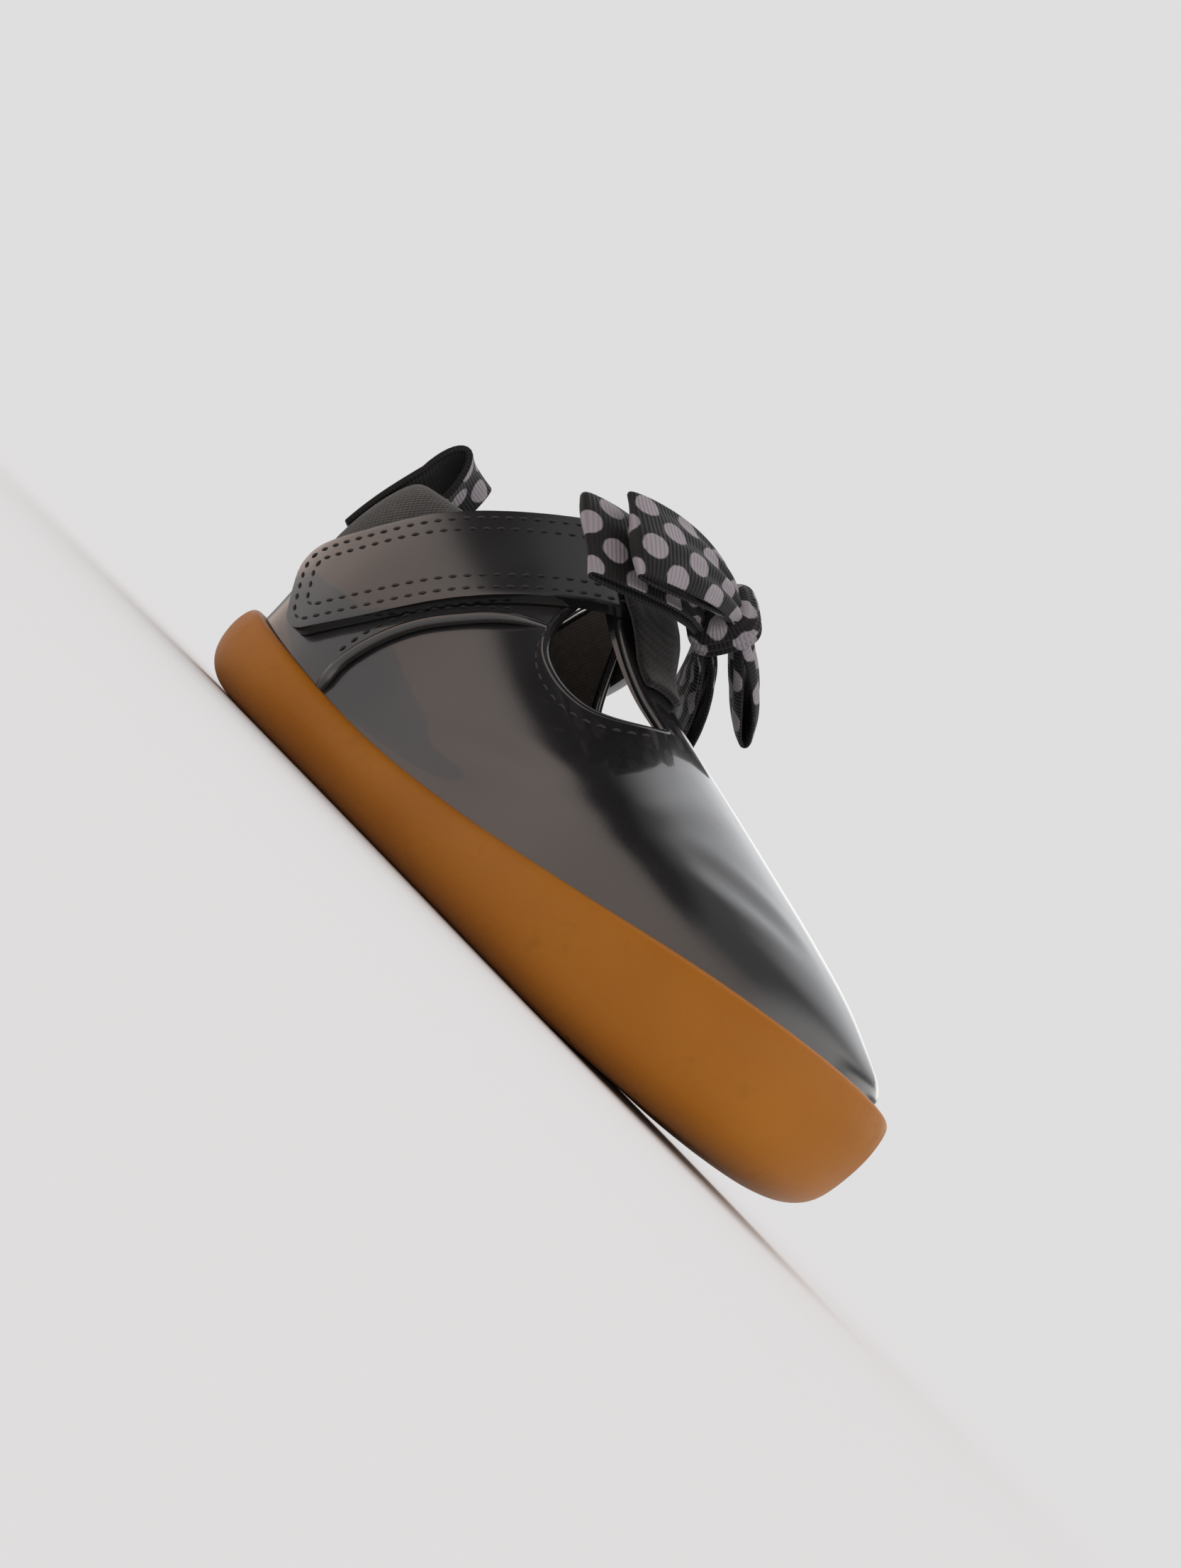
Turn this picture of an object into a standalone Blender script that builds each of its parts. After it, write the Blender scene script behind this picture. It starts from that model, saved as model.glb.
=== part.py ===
"""A child's t-bar shoe with a gum sole, a wrap strap and a ribbon bow, standing empty on its sole.

Sizes are in millimetres and meshes are made in metres. X runs from heel to toe, Z is up, and the side
with the strap's loose end is at -Y.
"""
from collections import namedtuple
from functools import lru_cache
from math import acos, asin, cos, pi, sin, sqrt

import bmesh
import bpy
import numpy as np
from mathutils import Vector

MM = 0.001
GAP = 0.3

# The shoe as a whole
LENGTH = 150.0
TOE_SPRING = 6.0
SPRING_FROM = 104.0
HEEL_LIFT = 2.0
LIFT_FROM = 16.0
WALL = 2.0
COLUMNS = 76

# A row for each section of the sole, from heel to toe: half widths on the two sides, the height of its
# rim, how full the upper is there (2 is an ellipse, more is squarer) and how far its side swells
Section = namedtuple("Section", "x near far rim full swell")
SECTIONS = [
    Section(0.0, 0.0, 0.0, 16.0, 2.9, 2.2),
    Section(7.5, 15.4, 14.4, 15.2, 2.8, 2.2),
    Section(24.0, 21.4, 21.4, 13.2, 2.5, 2.4),
    Section(48.0, 21.4, 24.4, 11.6, 2.2, 2.5),
    Section(75.0, 24.8, 27.4, 13.0, 2.1, 1.8),
    Section(102.0, 30.0, 30.6, 16.2, 2.25, 0.9),
    Section(126.0, 29.6, 28.0, 20.2, 2.3, 0.5),
    Section(142.5, 19.4, 18.4, 23.2, 2.3, 0.3),
    Section(150.0, 0.0, 0.0, 24.6, 2.3, 0.3),
]
SWELL_TOP = 64.0

# The sole's outer side, ring by ring from the flat tread to the lip: how far in from the widest outline,
# a height above the tread, and a share of the height of the rim
Ring = namedtuple("Ring", "inset above share")
SOLE_RINGS = [
    Ring(9.0, 0.0, 0.0),
    Ring(5.6, 0.5, 0.0),
    Ring(3.0, 1.9, 0.0),
    Ring(1.1, 4.2, 0.0),
    Ring(0.2, 0.0, 0.52),
    Ring(0.0, 0.0, 0.72),
    Ring(0.5, -1.2, 1.0),
    Ring(1.3, -0.3, 1.0),
    Ring(2.2, 0.0, 1.0),
]
CUP_DEPTH = 5.0
INSOLE_THICK = 2.6

# The top line of the last along its middle
Ridge = namedtuple("Ridge", "x z")
RIDGE = [
    Ridge(24.0, 96.0),
    Ridge(34.0, 86.0),
    Ridge(44.0, 77.0),
    Ridge(54.0, 69.0),
    Ridge(62.0, 62.5),
    Ridge(70.0, 56.5),
    Ridge(78.0, 51.8),
    Ridge(88.0, 48.2),
    Ridge(99.0, 44.8),
    Ridge(112.0, 40.6),
    Ridge(125.0, 36.2),
    Ridge(136.0, 31.8),
    Ridge(143.5, 27.6),
]
UPPER_INSET = 2.8
END_INSET = 1.2

# Edges drawn in the side view
Mark = namedtuple("Mark", "x z")
COLLAR_SEAM = [Mark(-12, 30), Mark(10, 30.5), Mark(19, 32.5), Mark(26, 38), Mark(33, 48), Mark(41, 59)]
WING_TOP = [Mark(46, 65.5), Mark(51, 67)]
EYE_BACK = [Mark(53.5, 60), Mark(55, 53), Mark(57, 47)]
EYE_LOW = [Mark(60.5, 42.6), Mark(65.5, 40.2), Mark(71, 39.2), Mark(77, 40), Mark(82, 43.6), Mark(86, 50)]
TOPLINE_HEIGHT = 54.0
TOPLINE_RISE = 1.5
COLLAR_FRONT = 33.0
COLLAR_WALL = 3.6
COLLAR_PUFF = 0.9
BAR_HALF = 6.5
BAR_END = 55.0

# Strap: its middle line in the side view, up to where it crosses the ridge
STRAP_PATH = [Mark(16.6, 21.6), Mark(26.8, 32.0), Mark(36.3, 44.0), Mark(46.0, 55.0)]
STRAP_CROSS = 56.5
STRAP_WIDTH = 19.0
STRAP_THICK = 2.3
STRAP_ROUND = 4.5
SADDLE_HALF = 7.0
SADDLE_THICK = 1.4

# Piping along the front edge of the quarter, in the side view
PIPING = [Mark(36.2, 13.6), Mark(36, 17), Mark(37.6, 23), Mark(41.2, 30), Mark(47, 37), Mark(53.4, 43.2)]
PIPING_RADIUS = 1.0

# Bow: its seat on the ridge, and a row for each loop: which side, its turn about the seat, how far it
# reaches, the height of its middle at the knot and at the fold, how far it gapes, and its half widths
BOW_X = 64.0
BOW_TURN = 8.0
BOW_THICK = 1.0
Loop = namedtuple("Loop", "name side turn reach root tip gape half_root half_tip")
LOOPS = [
    Loop("bow_loop_low_near", -1, 6.0, 29.0, 2.4, -10.0, 2.0, 4.4, 9.0),
    Loop("bow_loop_low_far", 1, 12.0, 27.0, 2.4, -9.0, 2.0, 4.4, 8.6),
    Loop("bow_loop_top_near", -1, 3.0, 28.0, 8.8, -2.6, 2.1, 4.2, 8.8),
    Loop("bow_loop_top_far", 1, 14.0, 25.0, 8.8, 5.0, 2.1, 4.2, 8.4),
]
LOOP_DROOP = 1.6
KNOT_SIZE = (8.6, 13.0, 13.2)
LOOP_START = 5.0

# Pull tab over the back of the collar
TAB_TURN = 0.085
TAB_THICK = 1.4
TAB_LOW = 39.0
TAB_TOP = 67.0
TAB_INSIDE = 42.0

# Materials: colour, roughness and the pieces that have each
Look = namedtuple("Look", "name colour rough pieces")
LOOKS = [
    Look("gum_rubber", (0.36, 0.15, 0.04), 0.45, ("outsole",)),
    Look("sock", (0.05, 0.045, 0.04), 0.8, ("insole",)),
    Look("patent", (0.012, 0.012, 0.013), 0.1, ("upper", "strap", "piping_near", "piping_far")),
    Look("collar_cloth", (0.03, 0.028, 0.026), 0.85, ("collar", "strap_saddle")),
    Look("ribbon", (0.02, 0.02, 0.022), 0.6, ("bow_knot", "pull_tab")),
]


def smooth(rows, column, at, key="x"):
    """The named column of a table at a place between its rows, by cubic pieces with no corners."""
    xs = np.array([getattr(row, key) for row in rows])
    ys = np.array([getattr(row, column) for row in rows])
    slopes = np.gradient(ys, xs)
    i = int(np.clip(np.searchsorted(xs, at) - 1, 0, len(xs) - 2))
    wide = xs[i + 1] - xs[i]
    t = (at - xs[i]) / wide
    start = (1 + 2 * t) * (1 - t) ** 2 * ys[i] + t * (1 - t) ** 2 * wide * slopes[i]
    return start + t * t * (3 - 2 * t) * ys[i + 1] + t * t * (t - 1) * wide * slopes[i + 1]


SQUARES = [row._replace(near=row.near**2, far=row.far**2) for row in SECTIONS]


def half_width(x, side):
    return sqrt(max(smooth(SQUARES, "near" if side < 0 else "far", x), 0.0))


def edge(turn):
    """A point of the sole's widest outline: turn 0 is the toe, 1 the heel, and 1 to 2 the far side."""
    x = LENGTH * (0.5 + 0.5 * cos(pi * turn))
    side = -1 if turn % 2 < 1 else 1
    return np.array([x, side * half_width(x, side)])


@lru_cache(maxsize=None)
def edge_in(turn, inset):
    """The same point moved in, square to the outline."""
    step = 0.004
    along = edge(turn + step) - edge(turn - step)
    inward = np.array([along[1], -along[0]]) / np.hypot(*along)
    return edge(turn) + inward * inset


def tread(x):
    """The height of the sole's underside."""
    spring = max(x - SPRING_FROM, 0.0) / (LENGTH - SPRING_FROM)
    lift = max(LIFT_FROM - x, 0.0) / LIFT_FROM
    return TOE_SPRING * spring**2 + HEEL_LIFT * lift**2


def rim(x):
    return smooth(SECTIONS, "rim", x)


def bed(x):
    """The floor of the cup that the upper stands in."""
    return rim(x) - CUP_DEPTH


def upper_inset(turn):
    return UPPER_INSET + END_INSET * cos(pi * turn) ** 4


@lru_cache(maxsize=None)
def foot(turn):
    """Where the upper's outer face meets the cup, the ridge point over it, and its fullness."""
    x, y = edge_in(turn, upper_inset(turn))
    low, high = edge_in(1, upper_inset(1))[0], edge_in(0, upper_inset(0))[0]
    over = RIDGE[0].x + (x - low) / (high - low) * (RIDGE[-1].x - RIDGE[0].x)
    base = np.array([x, y, bed(x) + GAP])
    top = np.array([over, 0.0, smooth(RIDGE, "z", over)])
    outward = np.append(edge(turn) - (x, y), 0.0) / upper_inset(turn) * smooth(SECTIONS, "swell", x)
    return base, top, smooth(SECTIONS, "full", x), outward


def skin(turn, rise):
    """A point of the last's outer face: rise 0 is in the cup and rise 1 is on the ridge."""
    base, top, full, outward = foot(turn)
    inward = 1 - cos(rise * pi / 2) ** (2 / full)
    upward = sin(rise * pi / 2) ** (2 / full)
    point = base + (top - base) * np.array([inward, inward, upward])
    lip = base[2] + CUP_DEPTH
    share = (point[2] - lip) / (min(SWELL_TOP, top[2]) - lip)
    return point + outward * sin(pi * min(max(share, 0.0), 1.0)) ** 1.4


def skin_normal(turn, rise):
    step = 0.003
    low, high = max(rise - step, 0.0), min(rise + step, 1 - 1e-4)
    up = skin(turn, high) - skin(turn, low)
    along = skin(turn + step, min(rise, 1 - 1e-3)) - skin(turn - step, min(rise, 1 - 1e-3))
    normal = np.cross(up, along)
    return normal / np.linalg.norm(normal)


def wall(turn, rise, out=0.0):
    return skin(turn, rise) + skin_normal(turn, rise) * out


def rise_at(turn, z):
    """How far up its column a height lies."""
    base, top, full, _ = foot(turn)
    share = min(max((z - base[2]) / (top[2] - base[2]), 0.0), 1.0)
    return asin(share ** (full / 2)) / (pi / 2)


def turn_at(x, z, side):
    """The column of a point that the side view shows at x and z."""
    low, high = 0.0, 1.0
    for _ in range(40):
        middle = (low + high) / 2
        if skin(middle, rise_at(middle, z))[0] > x:
            low = middle
        else:
            high = middle
    return low if side < 0 else 2 - low


def on_side(x, z, side, out=0.0):
    turn = turn_at(x, z, side)
    return wall(turn, rise_at(turn, z), out)


def on_top(x, y, out=0.0):
    """A point near the ridge, by its place from above."""
    low, high = 0.0, 1.0
    for _ in range(40):
        middle = (low + high) / 2
        if foot(middle)[1][0] > x:
            low = middle
        else:
            high = middle
    turn = low if y <= 0 else 2 - low
    base, _, full, _ = foot(turn)
    rise = acos(min(abs(y / base[1]), 1.0) ** (full / 2)) / (pi / 2)
    if abs(y) > 0.05:
        return wall(turn, rise, out)
    near, far = wall(low, 1.0, out), wall(2 - low, 1.0, out)
    middle = (near + far) / 2
    middle[1] = 0.0
    return middle


def add(name, points, faces, helper=False):
    """A mesh object from points in millimetres, welded and facing out."""
    mesh = bpy.data.meshes.new(name)
    placed = [((p[0] - LENGTH / 2) * MM, p[1] * MM, p[2] * MM) for p in points]
    mesh.from_pydata(placed, [], faces)
    shape = bmesh.new()
    shape.from_mesh(mesh)
    bmesh.ops.remove_doubles(shape, verts=shape.verts, dist=0.002 * MM)
    bmesh.ops.recalc_face_normals(shape, faces=shape.faces)
    shape.to_mesh(mesh)
    shape.free()
    made = bpy.data.objects.new(name, mesh)
    bpy.context.collection.objects.link(made)
    if helper:
        made.hide_render = True
        made.display_type = "WIRE"
    return made


def ring_faces(rings, count):
    """Faces between rings that follow each other, each of the same count of points."""
    faces = []
    for r in range(rings - 1):
        for k in range(count):
            after = (k + 1) % count
            faces.append((r * count + k, r * count + after, (r + 1) * count + after, (r + 1) * count + k))
    return faces


def sheet_faces(rows, count):
    """Faces of an open sheet of rows, each of the same count of points."""
    faces = []
    for r in range(rows - 1):
        for k in range(count - 1):
            a = r * count + k
            faces.append((a, a + 1, a + count + 1, a + count))
    return faces


def ladder(first, count):
    """Faces across a ring, from each point to the one opposite."""
    faces = [(first, first + 1, first + count - 1)]
    for k in range(1, count // 2 - 1):
        faces.append((first + k, first + k + 1, first + count - k - 1, first + count - k))
    middle = count // 2
    faces.append((first + middle - 1, first + middle, first + middle + 1))
    return faces


def stacked(name, rings):
    """A closed solid from rings, ladders closing both ends."""
    count = len(rings[0])
    points = [p for ring in rings for p in ring]
    faces = ring_faces(len(rings), count) + ladder(0, count) + ladder((len(rings) - 1) * count, count)
    return add(name, points, faces)


def turns(count=COLUMNS):
    return [2 * k / count for k in range(count)]


def flat_ring(inset, height):
    """A ring inside the outline, at the height that a function of its place gives."""
    points = []
    for turn in turns():
        x, y = edge_in(turn, inset(turn))
        points.append((x, y, height(x)))
    return points


def make_outsole():
    rings = []
    for row in SOLE_RINGS:
        def height(x, row=row):
            return tread(x) + row.above + row.share * (rim(x) - tread(x))
        rings.append(flat_ring(lambda turn, row=row: row.inset, height))
    rings.append(flat_ring(lambda turn: upper_inset(turn) - GAP, lambda x: rim(x) - GAP))
    rings.append(flat_ring(lambda turn: upper_inset(turn) - GAP, bed))
    return stacked("outsole", rings)


def make_insole():
    def inset(turn):
        return upper_inset(turn) + WALL + 2 * GAP
    rings = [flat_ring(inset, lambda x: bed(x) + GAP)]
    rings.append(flat_ring(inset, lambda x: bed(x) + INSOLE_THICK - GAP))
    rings.append(flat_ring(lambda turn: inset(turn) + 2 * GAP, lambda x: bed(x) + INSOLE_THICK))
    return stacked("insole", rings)


def skin_ring(share, out, count=COLUMNS):
    """A ring round the last, at a share of the way from the sole's lip to the ridge; below 0 is in the cup."""
    ring = []
    for turn in turns(count):
        lip = rise_at(turn, foot(turn)[0][2] + CUP_DEPTH)
        ring.append(wall(turn, lip + (1 - lip) * share if share >= 0 else 0.0, out))
    if share == 1.0:
        for k in range(1, count // 2):
            middle = (ring[k] + ring[count - k]) / 2
            middle[1] = 0.0
            ring[k] = ring[count - k] = middle
    return ring


def cut(target, cutter):
    modifier = target.modifiers.new("cut " + cutter.name, "BOOLEAN")
    modifier.operation = "DIFFERENCE"
    modifier.solver = "EXACT"
    modifier.object = cutter


def prism(name, outline, y_from, y_to):
    """A cutter: an outline in the side view, carried across the shoe."""
    count = len(outline)
    points = [(p.x, y_from, p.z) for p in outline] + [(p.x, y_to, p.z) for p in outline]
    faces = ring_faces(2, count) + [tuple(range(count)), tuple(range(count, 2 * count))]
    return add(name, points, faces, helper=True)


def make_upper(rows=13):
    shares = [-1] + [k / rows for k in range(rows + 1)]
    outer = [skin_ring(share, 0.0) for share in reversed(shares)]
    inner = [skin_ring(share, -WALL) for share in shares]
    rings = outer + inner
    points = [p for ring in rings for p in ring]
    upper = add("upper", points, ring_faces(len(rings), COLUMNS))
    far_out = 60.0
    sky = 140.0
    seam = [Mark(x, seam_height(x)) for x in np.linspace(COLLAR_SEAM[0].x, COLLAR_SEAM[-1].x, 19)]
    mouth = seam + WING_TOP + [Mark(BAR_END, sky), Mark(COLLAR_SEAM[0].x, sky)]
    cut(upper, prism("mouth_cutter", mouth, -far_out, far_out))
    eye = EYE_BACK + EYE_LOW + [Mark(EYE_LOW[-1].x, sky), Mark(BAR_END - 4, sky), Mark(BAR_END - 4, 66)]
    cut(upper, prism("eye_cutter_near", eye, -far_out, -BAR_HALF))
    cut(upper, prism("eye_cutter_far", eye, BAR_HALF, far_out))
    return upper


def topline(x):
    return TOPLINE_HEIGHT + TOPLINE_RISE * max(0.0, 1 - x / 20) ** 2


def seam_height(x):
    return smooth(COLLAR_SEAM, "z", x)


def make_collar(columns=29):
    """The padded band round the back, between the quarter's edge and the top line."""
    ends = [turn_at(COLLAR_FRONT, seam_height(COLLAR_FRONT) + 1.0, side) for side in (-1, 1)]
    rings = []
    for k in range(columns):
        turn = ends[0] + (ends[1] - ends[0]) * k / (columns - 1)
        low = 35.0
        for _ in range(6):
            x = skin(turn, rise_at(turn, low))[0]
            slope = seam_height(x + 0.5) - seam_height(x - 0.5)
            low = seam_height(x) + 2 * GAP * sqrt(1 + slope**2)
        high = topline(x)
        puff = COLLAR_PUFF * max(0.0, 1 - x / 14)
        inside = -COLLAR_WALL
        profile = [(0.0, 0.0, 0.0), (0.35, puff, 0.0), (0.75, puff, 0.0), (0.94, puff * 0.4 - 0.5, 0.0)]
        profile += [(1.0, (inside - 0.6) / 2, 0.0), (0.94, inside + 0.4, 0.0), (0.6, inside, 0.0)]
        profile += [(0.0, -WALL + 0.2, 0.0)]
        ring = []
        for share, out, _ in profile:
            z = low + (high - low) * share
            ring.append(wall(turn, rise_at(turn, z), out))
        rings.append(ring)
    count = len(rings[0])
    points = [p for ring in rings for p in ring]
    last = (columns - 1) * count
    faces = ring_faces(columns, count) + [tuple(range(count)), tuple(range(last, last + count))]
    return add("collar", points, faces)


def make_last(rows=36, count=160):
    """A guide that the strap is wrapped on: the upper's outer face, whole."""
    points = [p for k in range(rows + 1) for p in skin_ring(k / rows, 0.0, count)]
    guide = add("last_guide", points, ring_faces(rows + 1, count), helper=True)
    for face in guide.data.polygons:
        face.use_smooth = True
    return guide


def curve_through(marks, count):
    """Points spaced evenly along a smooth curve through some points."""
    marks = np.array(marks, float)
    far = np.concatenate([[0], np.cumsum(np.linalg.norm(np.diff(marks, axis=0), axis=1))])
    Knot = namedtuple("Knot", "x a b c")
    rows = [Knot(d, *p) for d, p in zip(far, marks)]
    return np.array([[smooth(rows, c, d) for c in "abc"] for d in np.linspace(0, far[-1], count)]), far[-1]


def strap_marks():
    """The strap's middle line on the last, and the same line a little further out."""
    lines = []
    for out in (0.0, 2.0):
        near = [on_side(m.x, m.z, -1, out) for m in STRAP_PATH]
        far = [on_side(m.x, m.z, 1, out) for m in reversed(STRAP_PATH)]
        lines.append(near + [on_top(STRAP_CROSS, 0.0, out)] + far)
    return lines


def make_strap(guide, along=46, across=6):
    lower, upper = strap_marks()
    line, length = curve_through(lower, 400)
    raised, _ = curve_through(upper, 400)
    shares = [0.0, 0.006, 0.018, 0.036]
    shares = shares + list(np.linspace(0.06, 0.94, along)) + [1 - s for s in reversed(shares)]
    points = []
    for share in shares:
        i = int(round(share * 399))
        middle = line[i]
        tangent = line[min(i + 1, 399)] - line[max(i - 1, 0)]
        tangent /= np.linalg.norm(tangent)
        outward = raised[i] - middle
        outward -= tangent * outward.dot(tangent)
        outward /= np.linalg.norm(outward)
        width = np.cross(tangent, outward)
        to_end = min(share, 1 - share) * length
        half = STRAP_WIDTH / 2
        if to_end < STRAP_ROUND:
            half += sqrt(max(STRAP_ROUND**2 - (STRAP_ROUND - to_end) ** 2, 0.0)) - STRAP_ROUND
        for k in range(across + 1):
            points.append(middle + width * half * (2 * k / across - 1) + outward * 1.0)
    strap = add("strap", points, sheet_faces(len(shares), across + 1))
    face_out(strap)
    hug(strap, guide, GAP)
    thicken(strap, STRAP_THICK)
    return strap


def face_out(sheet):
    """Turns a sheet's faces away from the middle of the shoe."""
    shape = bmesh.new()
    shape.from_mesh(sheet.data)
    centre = Vector((-0.02, 0.0, 0.02))
    score = sum((f.calc_center_median() - centre).dot(f.normal) for f in shape.faces)
    if score < 0:
        bmesh.ops.reverse_faces(shape, faces=shape.faces)
    shape.to_mesh(sheet.data)
    shape.free()


def hug(sheet, guide, out):
    modifier = sheet.modifiers.new("hug", "SHRINKWRAP")
    modifier.target = guide
    modifier.wrap_method = "NEAREST_SURFACEPOINT"
    modifier.wrap_mode = "ABOVE_SURFACE"
    modifier.offset = out * MM


def thicken(sheet, thick, offset=1.0):
    modifier = sheet.modifiers.new("thicken", "SOLIDIFY")
    modifier.thickness = thick * MM
    modifier.offset = offset
    modifier.use_even_offset = True


def make_saddle(across=6):
    """The end of the t-bar, folded over the strap."""
    over = 2 * GAP + STRAP_THICK + 0.9
    Step = namedtuple("Step", "x out")
    steps = [Step(77.0, GAP), Step(73.5, GAP), Step(71.5, 0.9), Step(69.0, 2.4), Step(66.5, over), Step(62.5, over)]
    steps += [Step(58.0, over), Step(54.0, over), Step(50.5, over - 0.1), Step(48.0, over - 0.8)]
    points = []
    for step in steps:
        for k in range(across + 1):
            y = SADDLE_HALF * (2 * k / across - 1)
            if step.x > STRAP_CROSS + STRAP_WIDTH / 2:
                y *= BAR_HALF / SADDLE_HALF
            points.append(on_top(step.x, y, step.out))
    saddle = add("strap_saddle", points, sheet_faces(len(steps), across + 1))
    face_out(saddle)
    thicken(saddle, SADDLE_THICK)
    return saddle


def make_piping(name, side, along=20, around=8):
    marks = [on_side(m.x, m.z, side, PIPING_RADIUS + GAP + 0.15) for m in PIPING]
    line, _ = curve_through(marks, along)
    rings = []
    for i, middle in enumerate(line):
        tangent = line[min(i + 1, along - 1)] - line[max(i - 1, 0)]
        tangent /= np.linalg.norm(tangent)
        outward = np.array([0.0, side, 0.0])
        outward -= tangent * outward.dot(tangent)
        outward /= np.linalg.norm(outward)
        sideways = np.cross(tangent, outward)
        ring = []
        for k in range(around):
            angle = 2 * pi * k / around
            ring.append(middle + PIPING_RADIUS * (cos(angle) * outward + sin(angle) * sideways))
        rings.append(ring)
    points = [p for ring in rings for p in ring]
    last = (along - 1) * around
    faces = ring_faces(along, around) + [tuple(range(around)), tuple(range(last, last + around))]
    return add(name, points, faces)


def bow_frame(degrees):
    """The bow's seat and three directions: out to the side, along the t-bar, and up."""
    step = 2.0
    down = on_top(BOW_X + step, 0.0) - on_top(BOW_X - step, 0.0)
    down /= np.linalg.norm(down)
    across = np.array([0.0, 1.0, 0.0])
    up = np.cross(down, across)
    up *= np.sign(up[2])
    turn = degrees * pi / 180
    seat = on_top(BOW_X, 0.0) + up * (3 * GAP + STRAP_THICK + SADDLE_THICK + 0.9)
    return seat, cos(turn) * across + sin(turn) * down, cos(turn) * down - sin(turn) * across, up


def loop_path(row, count):
    """A ribbon loop from the side: out along the bottom, round the fold and back along the top."""
    pressed = 0.8
    path = []
    for k in range(count):
        t = 2 * pi * (k + 0.5) / count
        share = 0.5 - 0.5 * cos(t)
        opened = pressed * (1 - share) + row.gape * 2.6 * share * sqrt(1 - share)
        middle = row.root + (row.tip - row.root) * share**LOOP_DROOP
        reach = LOOP_START + (row.reach - LOOP_START) * share
        path.append((reach, middle - opened * np.sign(sin(t)), share))
    return path


def make_loop(row, count=26):
    seat, out, width, up = bow_frame(row.turn)
    path = loop_path(row, count)
    rings = []
    for k in range(count):
        before, here, after = path[k - 1], path[k], path[(k + 1) % count]
        along = np.array([after[0] - before[0], after[1] - before[1]])
        across = np.array([-along[1], along[0]]) / np.hypot(*along)
        half = row.half_root + (row.half_tip - row.half_root) * sin(here[2] * pi / 2)
        ring = []
        for side, lift in ((-1, -0.5), (1, -0.5), (1, 0.5), (-1, 0.5)):
            reach = here[0] + across[0] * lift * BOW_THICK
            high = here[1] + across[1] * lift * BOW_THICK
            ring.append(seat + row.side * out * reach + width * side * half + up * high)
        rings.append(ring)
    points = [p for ring in rings for p in ring]
    faces = ring_faces(count, 4)
    last = (count - 1) * 4
    faces += [(last + k, last + (k + 1) % 4, (k + 1) % 4, k) for k in range(4)]
    return add(row.name, points, faces)


def make_knot(rows=10, around=20):
    seat, out, width, up = bow_frame(BOW_TURN)
    power = 0.62

    def rounded(value):
        return np.sign(value) * abs(value) ** power

    rings = []
    for r in range(1, rows):
        polar = pi * r / rows
        ring = []
        for k in range(around):
            angle = 2 * pi * k / around
            a = rounded(cos(angle)) * rounded(sin(polar)) * KNOT_SIZE[0] / 2
            b = rounded(sin(angle)) * rounded(sin(polar)) * KNOT_SIZE[1] / 2
            c = KNOT_SIZE[2] / 2 - rounded(cos(polar)) * KNOT_SIZE[2] / 2
            ring.append(seat + out * a + width * b + up * c)
        rings.append(ring)
    points = [p for ring in rings for p in ring]
    last = (rows - 2) * around
    faces = ring_faces(rows - 1, around) + [tuple(range(around)), tuple(range(last, last + around))]
    return add("bow_knot", points, faces)


def make_tab(across=6):
    """A folded ribbon over the back of the collar."""
    outside = COLLAR_PUFF + GAP + 0.2 + TAB_THICK / 2
    inside = -COLLAR_WALL - GAP - 0.2 - TAB_THICK / 2
    fold = TOPLINE_HEIGHT + 3.0
    high = TAB_TOP - TAB_THICK / 2 - fold
    strips = []
    for k in range(across + 1):
        turn = 1 + TAB_TURN * (2 * k / across - 1)
        strip = [wall(turn, rise_at(turn, z), outside) for z in np.linspace(TAB_LOW, fold, 7)]
        back = wall(turn, rise_at(turn, fold), inside)
        middle, half = (strip[-1] + back) / 2, (strip[-1] - back) / 2
        for angle in np.linspace(0, pi, 9)[1:-1]:
            strip.append(middle + half * cos(angle) + np.array([0.0, 0.0, high * sin(angle)]))
        strip += [wall(turn, rise_at(turn, z), inside) for z in np.linspace(fold, TAB_INSIDE, 5)]
        strips.append(strip)
    count = len(strips[0])
    points = [p for strip in strips for p in strip]
    tab = add("pull_tab", points, sheet_faces(across + 1, count))
    thicken(tab, TAB_THICK, 0.0)
    return tab


def dress(look, pieces):
    material = bpy.data.materials.new(look.name)
    material.use_nodes = True
    shader = material.node_tree.nodes["Principled BSDF"]
    shader.inputs["Base Color"].default_value = (*look.colour, 1.0)
    shader.inputs["Roughness"].default_value = look.rough
    shader.inputs["Metallic"].default_value = 0.0
    for piece in pieces:
        made = bpy.data.objects[piece]
        made.data.materials.append(material)
        made.data.shade_smooth()


def main():
    for old in list(bpy.data.objects):
        bpy.data.objects.remove(old)
    make_outsole()
    make_insole()
    make_upper()
    make_collar()
    guide = make_last()
    make_strap(guide)
    make_saddle()
    make_piping("piping_near", -1)
    make_piping("piping_far", 1)
    for row in LOOPS:
        make_loop(row)
    make_knot()
    make_tab()
    for look in LOOKS:
        loops = tuple(row.name for row in LOOPS) if look.name == "ribbon" else ()
        dress(look, look.pieces + loops)


main()
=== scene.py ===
from bisect import bisect_left
from collections import namedtuple
from functools import lru_cache
from math import acos, asin, atan2, cos, pi, radians, sin, sqrt

import bmesh
import bpy
import numpy as np
from mathutils import Matrix, Vector


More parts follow.
